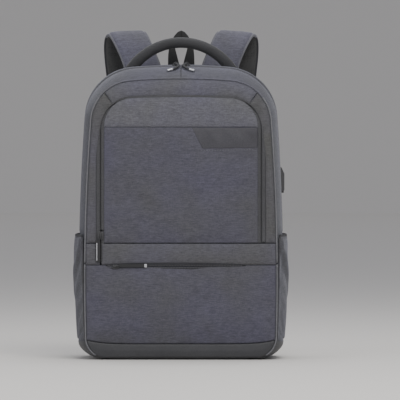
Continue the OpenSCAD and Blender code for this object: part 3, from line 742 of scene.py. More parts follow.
def wall_grid(paths, depths):
    """Grid of points from one outline for each depth."""
    return np.array([[(p[i][0], y, p[i][1]) for p, y in zip(paths, depths)] for i in range(len(paths[0]))])


def right_way_out(P, column):
    """Turns a grid that starts on the right side round, unless its normals already look outwards."""
    return P[::-1] if grid_normals(P, False)[0, column][0] < 0 else P


def puffed(P, out, wrap, seed, crown=0.0, foot=0.0):
    """Soft wall between two seams: bulges in the middle and turns in at both edges.
    crown and foot add to the bulge along the top and at the lower corners."""
    n = grid_normals(P, wrap)
    out = out + crown * np.sqrt(np.clip(n[..., 2], 0, 1))
    out = out + foot * np.exp(-((P[..., 2] - 25) / 12) ** 2) * np.sqrt(np.abs(n[..., 0]))
    y = P[..., 1]
    t = (y - y[:, :1]) / (y[:, -1:] - y[:, :1])
    d = np.minimum(y - y[:, :1], y[:, -1:] - y)
    push = out * np.sin(np.pi * t) ** 0.6 - roll(d, 2.4) / 1.5
    P = P + n * push[..., None]
    return wavy(P, 0.5, 55.0, seed, n * np.clip(d / 8, 0, 1)[..., None])


depths = FRONT_Y + (ZIP_FRONT - 1.6 - FRONT_Y) * edge_steps(12, length=60.0)
P = wall_grid([full_path(outline_at(y)) for y in depths], depths)
if grid_normals(P, True)[10, 5][2] <= 0:
    P = P[::-1]
P = puffed(P, 1.4, True, seed=2.0, foot=4.5)
front_gusset = coated_foot(shell("front_gusset_skin", P, WALL_T, ["gusset", "lining"], wrap=True))
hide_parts("front_gusset")

depths = ZIP_FRONT - 1.2 + (BACK_Y - ZIP_FRONT + 1.2) * edge_steps(16, length=98.0)
P = right_way_out(wall_grid([lower_path(outline_at(y), POCKET_LINE) for y in depths], depths), 5)
P = puffed(P, 0.8, False, seed=5.0, foot=3.5)
base_gusset = coated_foot(shell("base_gusset_skin", P, WALL_T, ["gusset", "lining"]))
stand_for(base_gusset, "bag", "base_gusset")

depths = ZIP_REAR + 0.3 + (BACK_Y - ZIP_REAR - 0.3) * edge_steps(14, length=72.0)
P = right_way_out(wall_grid([upper_path(outline_at(y), POCKET_LINE + 0.3) for y in depths], depths), 5)
P = puffed(P, 1.2, False, seed=9.0, crown=2.2)
rear_gusset = shell("rear_gusset_skin", P, WALL_T, ["gusset", "lining"])
stand_for(rear_gusset, "bag", "rear_gusset")

# Direction of the front section's forward fold; the front wall's mesh is baked where it stands
rise = np.array([0, ZIP_FRONT - FRONT_Y, POCKET_LINE - FOLD_Z])
rise = rise / np.linalg.norm(rise)
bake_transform(front_gusset)

# Short seam where the top wall is joined in the middle
seam_y = np.linspace(FRONT_Y + 1.5, ZIP_FRONT - 8, 24)
seam = [(0, y, outline_at(y)[2] + 0.15 + 1.4 * math.sin(math.pi * (y - FRONT_Y) / (ZIP_FRONT - FRONT_Y)) ** 0.6)
        for y in seam_y]
seam = tube("front_gusset_seam", seam, 0.5, ["binding"], sides=8, flat=(0.7, 0.35), up=(0, 0, 1))
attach(seam, "front_section")

# ---- Zips ---------------------------------------------------------------------------------------

def tape_strip(name, low, places, body, cad):
    """Woven tape round the bag's outline: places lists its depths and its height over the outline."""
    depths, lift = np.array(places).T
    P = right_way_out(wall_grid([upper_path(O_ZIP, low)] * len(depths), depths), 1)
    P = P + grid_normals(P, False) * (0.1 + lift)[None, :, None]
    stand_for(shell(name, P, 1.0, ["tape", "tape"]), body, cad)


COIL_PITCH, COIL_T = 2.4, 2.1


def coil_row(name, path, out, across_dir, side):
    """Teeth of one side of a nylon coil: small rounded loops that reach past the middle."""
    path = np.asarray(path, float)
    s = arc_length(path)
    verts, faces = [], []
    count = int(s[-1] / COIL_PITCH)
    for k in range(count):
        at = (k + (0.25 if side > 0 else 0.75)) * COIL_PITCH
        c = np.array([np.interp(at, s, path[:, m]) for m in range(3)])
        c2 = np.array([np.interp(at + 0.1, s, path[:, m]) for m in range(3)])
        t = (c2 - c) / max(np.linalg.norm(c2 - c), 1e-9)
        o = out(c)
        w = side * (np.cross(t, o) if across_dir is None else np.asarray(across_dir, float))
        base = len(verts)
        prof = [(0.62, 0.35), (0.62, -0.35), (0.2, -0.62), (-0.2, -0.62), (-0.62, -0.35), (-0.62, 0.35),
                (-0.2, 0.62), (0.2, 0.62)]
        for reach, grow in ((0.62, 1.0), (2.4, 0.9), (2.75, 0.6)):
            for a, b in prof:
                verts.append(c + w * reach + t * a * grow * COIL_PITCH * 0.45 + o * b * grow * COIL_T * 0.8)
        faces += ring_faces(3, 8, base)
    return fix_normals(mesh_object(name, verts, faces, ["coil"]))


zip_path = upper_path(O_ZIP, 196.5)
zip_mid = np.stack([zip_path[:, 0], np.full(len(zip_path), ZIP_Y), zip_path[:, 1]], 1)


def zip_out(c):
    """Outward direction of the main zip at a point."""
    cx, cz = corner(O_ZIP)
    if c[2] < cz:
        return np.array([math.copysign(1, c[0]), 0, 0.0])
    on_corner = abs(c[0]) > cx * 1.07
    centre = np.array([math.copysign(cx, c[0]), 0, cz] if on_corner else [0, 0, BAG_H - CROWN_R])
    d = np.array([c[0], 0, c[2]]) - centre
    return d / np.linalg.norm(d)


inner_mid = np.array([p - zip_out(p) * 1.0 for p in zip_mid])
for body, side, cad in (("front_section", -1, "front"), ("bag", 1, "rear")):
    row = coil_row(f"main_coil_{cad}_teeth", inner_mid, zip_out, (0, 1, 0), side)
    stand_for(row, body, f"main_zip_coil_{cad}")
# Each tape dips under the wall it is sewn to
tape_strip("main_tape_front_weave", 196.0,
           [(-28, -4.9), (-24.2, -4.3), (-22.3, -1.6), (-21.6, 0), (-18, 0), (-14.5, 0), (-9.15, 0)],
           "front_section", "main_zip_tape_front")
tape_strip("main_tape_rear_weave", 196.0,
           [(-8.85, 0), (-3, 0), (1.5, 0), (3.2, 0), (4, -1.6), (5.6, -4.3), (9, -4.9)],
           "bag", "main_zip_tape_rear")


def arch_line(spread_side, spread_top=None, low=FOLD_Z):
    """Line of the front zip grown sideways and upwards, from the right foot to the left foot."""
    top = spread_side if spread_top is None else spread_top
    hw, z1 = ARCH_HW + spread_side, ARCH_TOP + top
    r, rc = 45.0 + 0.5 * (spread_side + top), 1800.0
    cx = hw - r
    cz = z1 - rc + math.sqrt((rc - r) ** 2 - cx * cx)
    join = math.atan2(cz - z1 + rc, cx)
    pts = [(hw, z) for z in np.linspace(low, cz, 30, endpoint=False)]
    pts += [(cx + r * math.cos(a), cz + r * math.sin(a)) for a in np.linspace(0, join, 20, endpoint=False)]
    pts += [(rc * math.cos(a), z1 - rc + rc * math.sin(a)) for a in np.linspace(join, math.pi / 2, 16)]
    return both(pts)


def strip3(line, y):
    return np.stack([line[:, 0], np.full(len(line), float(y)), line[:, 1]], 1)


def flat_tape(name, a, b, y=FACE_Y + 0.7, mat="tape", thick=TAPE_T):
    """Flat woven tape in the front face between two lines of points."""
    g = np.stack([a + (b - a) * t for t in np.linspace(0, 1, 4)], 1)
    return front_panel(name, g, [mat, mat], y, puff=0.0, seed=3.0, wave=0.0, roll_r=0.2, reach=30.0,
                       thick=thick)


def front_tape(name, inner, outer, keep, body, cad):
    """Woven tape of the front zip between two offsets of its line, where keep allows it."""
    a, b = resample(arch_line(inner), 220), resample(arch_line(outer), 220)
    places = np.where(keep(a))[0]
    runs = np.split(places, np.where(np.diff(places) > 1)[0] + 1)
    parts = [flat_tape(f"{name}_{k}", a[run], b[run]) for k, run in enumerate(runs) if len(run) > 1]
    ob = join(name, parts) if len(parts) > 1 else parts[0]
    ob.name = name
    return stand_for(ob, body, cad)


# The front zip ends at this height on the left; its tape runs on down to the fold
ZIP_FOOT = 197.0


def outer_run(a):
    return (a[:, 1] > FOLD_Z + 2) & ((a[:, 1] > BAND_TOP - 1) | (a[:, 0] < 0))


def inner_run(a):
    return a[:, 1] > np.where(a[:, 0] < 0, ZIP_FOOT + 0.5, BAND_TOP - 0.5)


front_tape("front_tape_outer_weave", 0.3, 6.4, outer_run, "front_section", "front_zip_tape_outer")
front_tape("front_tape_inner_weave", -0.3, -5.4, inner_run, "front_panel", "front_zip_tape_inner")
low_run = np.stack([np.full(12, -ARCH_HW + 0.3), np.linspace(FOLD_Z + 2, ZIP_FOOT - 0.4, 12)], 1)
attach(flat_tape("band_tape_weave", low_run, low_run + np.array([5.1, 0])), "front_section")


def towards_front(_):
    """Outward direction of the zips in the front face."""
    return np.array([0, -1.0, 0])


front_line = strip3(arch_line(0.0), FACE_Y + 1.0)
keep_out = front_line[outer_run(front_line[:, [0, 2]])]
keep_in = front_line[inner_run(front_line[:, [0, 2]] - np.array([0, 1.0]))]
turn = np.cross(keep_in[1] - keep_in[0], (0, -1.0, 0))
outward = 1 if turn[0] > 0 else -1
stand_for(coil_row("front_coil_outer_teeth", keep_out, towards_front, None, outward),
          "front_section", "front_zip_coil_outer")
stand_for(coil_row("front_coil_inner_teeth", keep_in, towards_front, None, -outward),
          "front_panel", "front_zip_coil_inner")
low_in = np.array([(-ARCH_HW, FACE_Y + 1.0, z) for z in np.linspace(FOLD_Z + 2, ZIP_FOOT - 0.6, 12)])
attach(coil_row("band_coil_teeth", low_in, towards_front, (1, 0, 0), 1), "front_section")

slit = np.array([(x, FACE_Y + 0.9, LOWER_ZIP_Z) for x in np.linspace(SLIT_L, SLIT_R, 40)])
rows = [coil_row(f"lower_teeth_{k}", slit, towards_front, (0, 0, 1), s) for k, s in enumerate((1, -1))]
stand_for(join("lower_coil_teeth", rows), "bag", "lower_zip_coil")
tapes = []
for k, (low, high) in enumerate(((-6.5, -0.7), (0.7, 8.5))):
    foot, top = [np.stack([np.linspace(SLIT_L - 3, SLIT_R + 3, 60), np.full(60, LOWER_ZIP_Z + z)], 1)
                 for z in (low, high)]
    tapes.append(flat_tape(f"lower_tape_{k}", foot, top, FACE_Y + 0.2, "binding", 0.9))
stand_for(join("lower_tape_weave", tapes), "bag", "lower_zip_tape")

# ---- Front face ---------------------------------------------------------------------------------
outer_line = upper_path(O_FRONT - np.array([0.6, 0.6, 0.6, 0.6, 0]), BAND_TOP + 0.5, ns=60)
MITRE_OUT, MITRE_IN = (120.0, 411.5), (106.5, 393.5)


def frame_inner():
    """Inner edge of the frame: shows the tape at the sides, covers the zip along the top."""
    line = arch_line(-3.4, 4.1, low=BAND_TOP + 0.5)
    t = np.clip((390 - line[:, 1]) / 88, 0, 1)
    line[:, 0] += np.sign(line[:, 0]) * 9.6 * t * t * (3 - 2 * t)
    return line


inner_line = frame_inner()


def frame_part(name, out_a, out_b, in_a, in_b, n, mat, seed):
    """Panel of the frame between two stretches of its outer and inner edge."""
    o, i = resample(piece_of(outer_line, out_a, out_b), n), resample(piece_of(inner_line, in_a, in_b), n)
    steps = edge_steps(9, length=20.0, near=(0.0, 0.35, 0.9, 1.8, 3.0))
    g = np.stack([o + (i - o) * t for t in steps], 1)
    return front_panel(name, g, [mat, "lining"], FACE_Y + 1.2, puff=3.2, seed=seed, wave=0.5, roll_r=1.7,
                       reach=14.0, thick=2.0)


def near(point, side, gap=0.0):
    """A point moved along the frame by gap, on the right side or mirrored to the left."""
    return side * (point[0] + gap), point[1] - gap


FOOT_OUT, FOOT_IN, FRAME_GAP = (146.0, BAND_TOP + 0.5), (ARCH_HW + 6.2, BAND_TOP + 0.5), 0.1
along = edge_steps(70, length=235.0)
sides = [frame_part(f"frame_side_{word}", near(FOOT_OUT, side), near(MITRE_OUT, side, FRAME_GAP),
                    near(FOOT_IN, side), near(MITRE_IN, side, FRAME_GAP), along, "frame_side", seed)
         for (side, word), seed in zip(SIDES, (4.0, 8.0))]
stand_for(join("front_frame_side_panels", sides), "front_section", "front_frame_sides")
top = frame_part("front_frame_top_panel", near(MITRE_OUT, 1, -FRAME_GAP), near(MITRE_OUT, -1, -FRAME_GAP),
                 near(MITRE_IN, 1, -FRAME_GAP), near(MITRE_IN, -1, -FRAME_GAP), edge_steps(80, length=255.0),
                 "frame", 6.0)
stand_for(top, "front_section", "front_frame_top")

flap_line = arch_line(-5.2, 2.4, low=BAND_TOP + 1)


def arch_height(x):
    """Height of the flap's upper edge above a place on the bag."""
    right_half = flap_line[flap_line[:, 0] >= -0.01]
    order = np.argsort(right_half[:, 0])
    return np.interp(abs(x), right_half[order, 0], right_half[order, 1])


hw = ARCH_HW - 5.2
cols = hw * np.sin(np.pi / 2 * np.linspace(-1, 1, 96))
cols[0], cols[-1] = -hw, hw
rows_t = edge_steps(12, length=45.0)
seam_z = UPPER_SEAM + 0.1
g = np.array([[(x, seam_z + max(arch_height(x) - seam_z, 0.4) * t) for t in rows_t] for x in cols])
upper_band = front_panel("upper_band_panel", g, ["light", "lining"], FACE_Y + 0.2, puff=2.2, seed=11.0,
                         wave=0.5, roll_r=1.3, reach=20)
stand_for(upper_band, "front_panel", "upper_band")

xs = -hw + 2 * hw * edge_steps(70, length=2 * hw)
zs = BAND_TOP + 0.9 + (UPPER_SEAM - 0.1 - BAND_TOP - 0.9) * edge_steps(50, length=176.0)
g = np.array([[(x, z) for z in zs] for x in xs])
centre = front_panel("centre_panel_cloth", g, ["main", "lining"], FACE_Y + 0.2, puff=2.2, seed=13.0,
                     wave=0.8, roll_r=1.3, reach=40)
inflate(centre, PIN["centre_panel_cloth"], pressure=0.6, cap=3.0, slack=0.006)
stand_for(centre, "front_panel", "centre_panel")


def x_left(z):
    """Slanting left edge of the smooth patch at height z."""
    return 18 + (353 - z) / (353 - 323.5) * 15.0


zs = 323.6 + (355.2 - 323.6) * edge_steps(10, length=31.0, near=(0.0, 0.3, 0.8, 1.5))
us = edge_steps(34, length=85.0, near=(0.0, 0.3, 0.8, 1.5))
g = np.array([[(x_left(z) + (hw - 0.3 - x_left(z)) * u, z + (1.2 * u if z < 330 else 0)) for z in zs]
              for u in us])
patch = front_panel("accent_patch_cloth", g, ["patch", "patch"], FACE_Y, puff=0.5, seed=17.0, wave=0.1,
                    roll_r=0.6, reach=30.0, thick=0.9)
lay_on(patch, centre, FACE_Y + 0.5)
stand_for(patch, "front_panel", "accent_patch")
sew = np.array([(x_left(323.6) - 2.5 + t * (hw - 4 - x_left(323.6)), FACE_Y, 320.6 + 1.2 * t)
                for t in np.linspace(0, 1, 30)])
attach(lay_on(stitches("patch_stitching", sew, (0, -1, 0)), centre, FACE_Y + 0.1), "front_panel")


def slit_bow(x):
    """How far the pocket's slit stands open at x, from 0 to 1."""
    t = (x - SLIT_L) / (SLIT_R - SLIT_L)
    return math.sin(math.pi * t) ** 0.8 if 0 < t < 1 else 0.0


def band_part(name, x0, x1, n, seed):
    """Stretch of the flap band from x0 to x1, its lower edge lifted over the pocket's slit."""
    xs = x0 + (x1 - x0) * edge_steps(n, length=x1 - x0)
    g = []
    for x in xs:
        low = FOLD_Z - 1.2 + 2.5 * slit_bow(x)
        lim = side_x(O_FRONT, 160) - 0.7
        x = max(-lim, min(lim, x))
        g.append([(x, low + (BAND_TOP - 0.1 - low) * t) for t in edge_steps(9, length=31.0)])
    return front_panel(name, g, ["band", "lining"], FACE_Y + 0.6, puff=2.6, seed=seed, wave=0.5, roll_r=1.5,
                       reach=16)


band = join("flap_band_panel", [band_part("band_left", -147, -ARCH_HW - 1.0, 8, 21.0),
                                band_part("band_right", -ARCH_HW + 1.3, 147, 80, 23.0)])
stand_for(band, "front_section", "flap_band")


def face_half_width(z):
    """Half width of the front face at height z, just inside its piping."""
    o, inset = O_FRONT, 0.7
    cz = BASE_T + o[4]
    if z >= cz:
        return side_x(o, z) - inset
    return o[0] - o[4] + math.sqrt(max(o[4] ** 2 - (cz - z) ** 2, 0)) - inset


def coated_seam(x):
    """Height of the seam over the coated base, which rises at the corners."""
    return 24.4 + 6.0 * min(1.0, abs(x) / 145.0) ** 7


def lower_front_grid(us, ts, low, high):
    """Grid over the lower front between two edges, given as heights over x."""
    g = []
    for u in us:
        across = 2 * u - 1
        z0, z1 = low(across * FRONT_HW), high(across * FRONT_HW)
        g.append([(across * face_half_width(z), z) for z in z0 + (z1 - z0) * ts])
    return np.array(g)


us = edge_steps(84, length=2 * FRONT_HW)
g = lower_front_grid(us, edge_steps(36, length=115.0), lambda x: coated_seam(x) + 0.3,
                     lambda x: FOLD_Z - 1.7 - 1.9 * slit_bow(x))
pocket = front_panel("lower_pocket_cloth", g, ["main", "lining"], FACE_Y + 0.8, puff=3.4, seed=27.0,
                     wave=1.1, roll_r=1.8, reach=45)
mouth = np.array([v.co.z for v in pocket.data.vertices]) > (FOLD_Z - 15) * MM
inflate(pocket, np.where(mouth, 1.0, PIN["lower_pocket_cloth"]), pressure=1.0, cap=4.0, slack=0.008)
stand_for(pocket, "bag", "lower_pocket_panel")

g = lower_front_grid(us, edge_steps(9, length=24.0), lambda x: 3.6, lambda x: coated_seam(x) - 0.3)
coated = front_panel("front_base_cloth", g, ["coated", "lining"], FACE_Y + 0.8, puff=1.8, seed=31.0,
                     wave=0.4, roll_r=1.6, reach=24)
stand_for(coated, "bag", "front_base_panel")

# ---- Piping -------------------------------------------------------------------------------------

# Above this height the piping takes the darker frame cloth as painted shade
PIPING_PAINTED_SHADE_Z = 402.0


def piping(name, line, y, r, body, cad):
    """Cord between two panels; its pale cloth is a painted highlight, and along the top the darker frame cloth
    paints shade on it.
    """
    ob = tube(name, strip3(line, y), r, ["piping", "frame"], sides=10)
    for f in ob.data.polygons:
        f.material_index = int(f.center.z > PIPING_PAINTED_SHADE_Z * MM)
    stand_for(ob, body, cad)


grow = np.full(5, 0.9)
piping("front_piping_upper_cord", upper_path(O_FRONT + grow, FOLD_Z + 2), FACE_Y + 0.9, 1.05, "front_section",
       "front_piping_upper")
low_line = lower_path(O_FRONT + grow, FOLD_Z - 0.6)
low_line = low_line[low_line[:, 1] > 7.0]
legs = [tube(f"piping_leg_{s}", strip3(low_line[low_line[:, 0] * s > 0], FACE_Y + 0.9), 1.05, ["piping"])
        for s in (1, -1)]
stand_for(join("front_piping_lower_cord", legs), "bag", "front_piping_lower")
piping("main_piping_cord", upper_path(O_SUNK - grow * 0.2, POCKET_H + 1), ZIP_FRONT - 3.0, 1.25, "front_section",
       "main_piping")

# ---- Side pockets -------------------------------------------------------------------------------
POCKET_Y0, POCKET_Y1, POCKET_Z0, POCKET_BULGE = -80.0, 52.0, 27.0, 3.3
MOUTH_Z, HEM_H = 191.5, 3.6


def pocket_stand(y, z):
    """How far the side pocket stands off the wall."""
    t = (z - POCKET_Z0) / (POCKET_H - POCKET_Z0)
    s = math.sin(math.pi * (y - POCKET_Y0) / (POCKET_Y1 - POCKET_Y0))
    return 0.5 + 3.4 * max(0.0, t) ** 1.5 + POCKET_BULGE * s * math.sin(math.radians(40 + 110 * t))


def pocket_grid(side, ys, zs, lift):
    return np.array([[(side * (side_x(outline_at(y), z) + pocket_stand(y, z) + lift), y, z) for z in zs]
                     for y in ys])


for side, word in SIDES:
    ys = POCKET_Y0 + (POCKET_Y1 - POCKET_Y0) * edge_steps(32, length=132.0)
    zs = np.linspace(POCKET_Z0 + 1.5, MOUTH_Z - HEM_H + 0.6, 42)
    P = pocket_grid(side, ys, zs, 1.7)
    d = np.minimum(ys - ys[0], ys[-1] - ys)
    hem = np.clip((zs - zs[0]) / 3.0, 0, 1)
    P[..., 0] -= side * roll(d, 2.2)[:, None]
    P[..., 0] -= side * 2.2 * (1 - hem)[None, :] ** 2
    # A diagonal crease runs down and back from the front corner of the mouth
    for i, y in enumerate(ys):
        for j, z in enumerate(zs):
            line_z = 176 - (y + 72) * 0.95
            k = (z - line_z) / 13.0
            fade = min(1.0, d[i] / 14.0) * (1.0 if y < 30 else 0.3)
            P[i, j, 0] += side * fade * (1.8 * math.exp(-k * k) - 1.6 * math.exp(-(k + 1.6) ** 2))
    P = wavy(P, 0.9, 34.0, 40.0 + side, facing(P, 0, side) * np.clip(d / 9, 0, 1)[:, None, None])
    flip = grid_normals(P, False)[3, 5][0] * side < 0
    cloth = shell(f"side_pocket_{word}_cloth", P, 1.4, ["side_pocket", "lining"], flip=flip)
    pin = np.where((d[:, None] < 2.6) | (zs[None, :] < zs[0] + 3) | (zs[None, :] > zs[-1] - 2), 1.0, 0.0).ravel()
    inflate(cloth, np.tile(pin, 2), pressure=0.3, cap=1.5, slack=0.012)
    stand_for(cloth, "bag", f"side_pocket_{word}")
    zs = MOUTH_Z - HEM_H + HEM_H * edge_steps(4, length=HEM_H, near=(0.0, 0.25, 0.6, 1.0))
    ys2 = np.linspace(POCKET_Y0, POCKET_Y1, 90)
    P = pocket_grid(side, ys2, zs, 2.0)
    dz = np.minimum(zs - zs[0], zs[-1] - zs)
    P[..., 0] -= side * roll(dz, 1.2)[None, :]
    P[..., 0] += side * 0.18 * np.sin(np.arange(len(ys2)) * 1.9)[:, None] * (dz > 0.5)
    flip = grid_normals(P, False)[3, 3][0] * side < 0
    bind = shell(f"pocket_binding_{word}_band", P, 2.3, ["binding", "binding"], flip=flip)
    stand_for(bind, "bag", f"pocket_binding_{word}")

# ---- Base and back ------------------------------------------------------------------------------
sole = [(x, y - 3.0) for x, y in round_rect(0, 0, 244, 148, 26, 10)]
base = prism("base_panel_cloth", sole, 0.0, BASE_T, ["coated"])
bevelled(base, 1.0)
stand_for(base, "bag", "base_panel")


def back_plate():
    """Padded back panel: air mesh over foam, with a raised rim."""
    path = full_path(O_BACK - 0.6)
    mid = np.array([0.0, 215.0])
    P = []
    for t in (1.0, 0.997, 0.99, 0.98, 0.965, 0.94, 0.9, 0.8, 0.65, 0.45, 0.25, 0.08, 0.0):
        P.append([(mid[0] + (x - mid[0]) * t, 0, mid[1] + (z - mid[1]) * t) for x, z in path])
    P = np.array(P).transpose(1, 0, 2)
    d = edge_distance(P, path)
    P[..., 1] = BACK_Y + 5.6 - roll(d, 3.0) + 0.6 * np.clip((d - 8) / 20, 0, 1)
    return P


P = back_plate()
flip = grid_normals(P, True)[3, 5][1] < 0
inside = P.copy()
inside[..., 1] = BACK_Y - 0.6
back = weld(closed_sheet("back_panel_cloth", P, inside, ["mesh", "lining"], wrap=True, flip=flip))
stand_for(back, "bag", "back_panel")


PAD_CORNER = 16.0


def in_round_rect(x, z, cx, cz, w, h, r):
    """Draws a point of a rectangle's corner in, so that a square grid fills a rounded rectangle."""
    dx, dz = abs(x - cx) - (w / 2 - r), abs(z - cz) - (h / 2 - r)
    if dx > 0 and dz > 0:
        k = max(dx, dz) / math.hypot(dx, dz)
        x = cx + math.copysign(w / 2 - r + dx * k, x - cx)
        z = cz + math.copysign(h / 2 - r + dz * k, z - cz)
    return x, z


def pad(name, cx, cz, w, h, puff, seed):
    """Foam cushion under air mesh, with a pressed channel across it."""
    xs, zs = edge_steps(18, length=w), edge_steps(24, length=h)
    line = round_rect(cx, cz, w, h, PAD_CORNER, 8)
    P = np.array([[((cx + (u - 0.5) * w), 0, cz + (v - 0.5) * h) for v in zs] for u in xs])
    for idx in np.ndindex(P.shape[:2]):
        P[idx][0], P[idx][2] = in_round_rect(P[idx][0], P[idx][2], cx, cz, w, h, PAD_CORNER)
    d = edge_distance(P, line)
    y0 = BACK_Y + 6.1
    lift = puff * (1 - np.exp(-d / 7.0))
    channel = np.abs(((P[..., 2] - cz + 500) % 32.0) - 16.0)
    lift -= 1.6 * np.exp(-(channel / 2.4) ** 2) * np.clip(d / 10, 0, 1)
    P[..., 1] = y0 + lift
    P = wavy(P, 0.4, 20.0, seed, facing(P, 1, 1) * np.clip(d / 8, 0, 1)[..., None])
    Q = P.copy()
    Q[..., 1] = y0 - 0.1
    return fix_normals(closed_sheet(name, P, Q, ["mesh"]))


pads = [pad(f"pad_{i}", s * 62, z, 88, 130, 6.4, 50 + i) for i, (s, z) in
        enumerate(((-1, 330), (1, 330), (-1, 180), (1, 180)))]
pads.append(pad("pad_4", 0, 72, 212, 60, 6.4, 57))
stand_for(join("back_pad_cushions", pads), "bag", "back_pads")


def lining_plate(name, grid2, y0, y1, mat):
    """Thin padded wall in the front view, rounded at its rim."""
    P, line = front_grid(grid2)
    turned = roll(edge_distance(P, line), (y1 - y0) * 0.45)
    Q = P.copy()
    P[..., 1] = y0 + turned
    Q[..., 1] = y1 - turned
    return fix_normals(closed_sheet(name, P, Q, [mat]))


DIVIDER_W, DIVIDER_H, DIVIDER_Z, DIVIDER_CORNER = 286.0, 310.0, 170.0, 22.0
us, vs = edge_steps(30, length=DIVIDER_W), edge_steps(30, length=DIVIDER_H)
g = [[in_round_rect((u - 0.5) * DIVIDER_W, DIVIDER_Z + (v - 0.5) * DIVIDER_H, 0, DIVIDER_Z, DIVIDER_W, DIVIDER_H,
                    DIVIDER_CORNER) for v in vs] for u in us]
divider = lining_plate("laptop_divider_pad", g, 36.0, 41.0, "lining")
stand_for(divider, "bag", "laptop_divider")
divider_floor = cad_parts["front_divider"].data
divider_floor.materials.clear()
divider_floor.materials.append(M["lining"])

# ---- Carry handle -------------------------------------------------------------------------------
HANDLE_Y, HANDLE_R, HANDLE_TOP = 35.0, 92.5, 485.8


def handle_mesh():
    """Round grip bent in an arc; it flattens towards its ends, which reach into the top of the bag."""
    centre_z = HANDLE_TOP - HANDLE_R
    sweep = math.radians(58.5)
    angles = np.linspace(-sweep, sweep, 110)
    verts, sides = [], 24
    for a in angles:
        c = np.array([HANDLE_R * math.sin(a), HANDLE_Y, centre_z + HANDLE_R * math.cos(a)])
        out = np.array([math.sin(a), 0, math.cos(a)])
        t = abs(a) / sweep
        grip = 8.7 + 1.0 * t ** 2
        deep = 8.6 - 2.0 * max(0.0, (t - 0.8) / 0.2) ** 1.5
        for k in range(sides):
            b = 2 * math.pi * k / sides
            ca, sa = math.cos(b), math.sin(b)
            r_out = grip * sa * (1.0 if sa > 0 else 0.94)
            # The cloth is sewn along the underside, which leaves a shallow groove
            groove = 0.9 * math.exp(-((b - 1.5 * math.pi) / 0.22) ** 2)
            ripple = 0.16 * noise.noise(Vector((a * 30, ca * 2, sa * 2)))
            verts.append(c + out * (r_out + groove + ripple) + np.array([0, 1, 0]) * (deep * ca))
    return fix_normals(mesh_object("carry_handle_grip", verts, ring_faces(len(angles), sides), ["handle"]))


handle = handle_mesh()
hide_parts("carry_handle", "handle_roots")
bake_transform(handle)

# ---- Hang loop ----------------------------------------------------------------------------------

def loop_side(s):
    """One leg of the folded loop: a flat web that rises, leans in and meets the other at the tip."""
    outer = [(20.6, 441), (20.6, 453), (20.4, 466), (19.0, 479), (15.5, 489), (10.5, 497.5), (5.0, 503.5),
             (0.0, 505.4)]
    inner = [(2.0, 441), (3.0, 453), (6.4, 466), (9.6, 478), (8.0, 485), (5.0, 489.5), (2.0, 492.3),
             (0.0, 493.4)]
    o, i = resample(outer, 40), resample(inner, 40)
    g = np.stack([o + (i - o) * t for t in np.linspace(0, 1, 8)], 1)
    return np.stack([s * g[..., 0], np.full(g.shape[:2], 79.0), g[..., 1]], 2)


legs = []
for s in (1, -1):
    P = loop_side(s)
    cross = np.linspace(-1, 1, P.shape[1])
    P[..., 1] += -0.9 + 0.5 * cross[None, :] ** 2 + (0.35 if s > 0 else -0.1)
    flip = grid_normals(P, False)[5, 3][1] > 0
    legs.append(shell(f"loop_{s}", P, 1.6, ["webbing", "webbing"], flip=flip))
loop = join("hang_loop_web", legs)
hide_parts("hang_loop")
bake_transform(loop)

# ---- Shoulder straps ----------------------------------------------------------------------------
STRAP_PATH = [
    (59, 88, 424), (59, 90, 436), (60, 91, 446), (63.5, 92, 458), (73, 95, 480), (83.5, 105, 498.8),
    (90, 118, 494), (91, 127, 468), (86, 129, 420), (79, 127, 350), (82, 121, 270), (98, 115, 195),
    (110, 112, 143)]


# Round the section, in halves of its width and thickness: two pressed-in edges and a binding that
# stands out at each rim
RIM_UP = [(-1.0, 0.0), (-0.985, 0.42), (-0.95, 0.5), (-0.9, 0.46), (-0.87, 0.62), (-0.8, 0.86), (-0.6, 0.98),
          (-0.3, 1.0)]
RIM_DOWN = [(1.0, 0.0), (0.985, -0.42), (0.95, -0.5), (0.9, -0.46), (0.87, -0.6), (0.8, -0.82), (0.6, -0.96),
            (0.3, -1.0)]
STRAP_SECTION = (RIM_UP + [(0.0, 1.0)] + [(-a, b) for a, b in RIM_UP[:0:-1]]
                 + RIM_DOWN + [(0.0, -1.0)] + [(-a, b) for a, b in RIM_DOWN[:0:-1]])


def strap_normals(path):
    T = np.gradient(path, axis=0)
    N = np.stack([np.zeros(len(path)), T[:, 2], -T[:, 1]], 1)
    N /= np.linalg.norm(N, axis=1, keepdims=True)
    return N


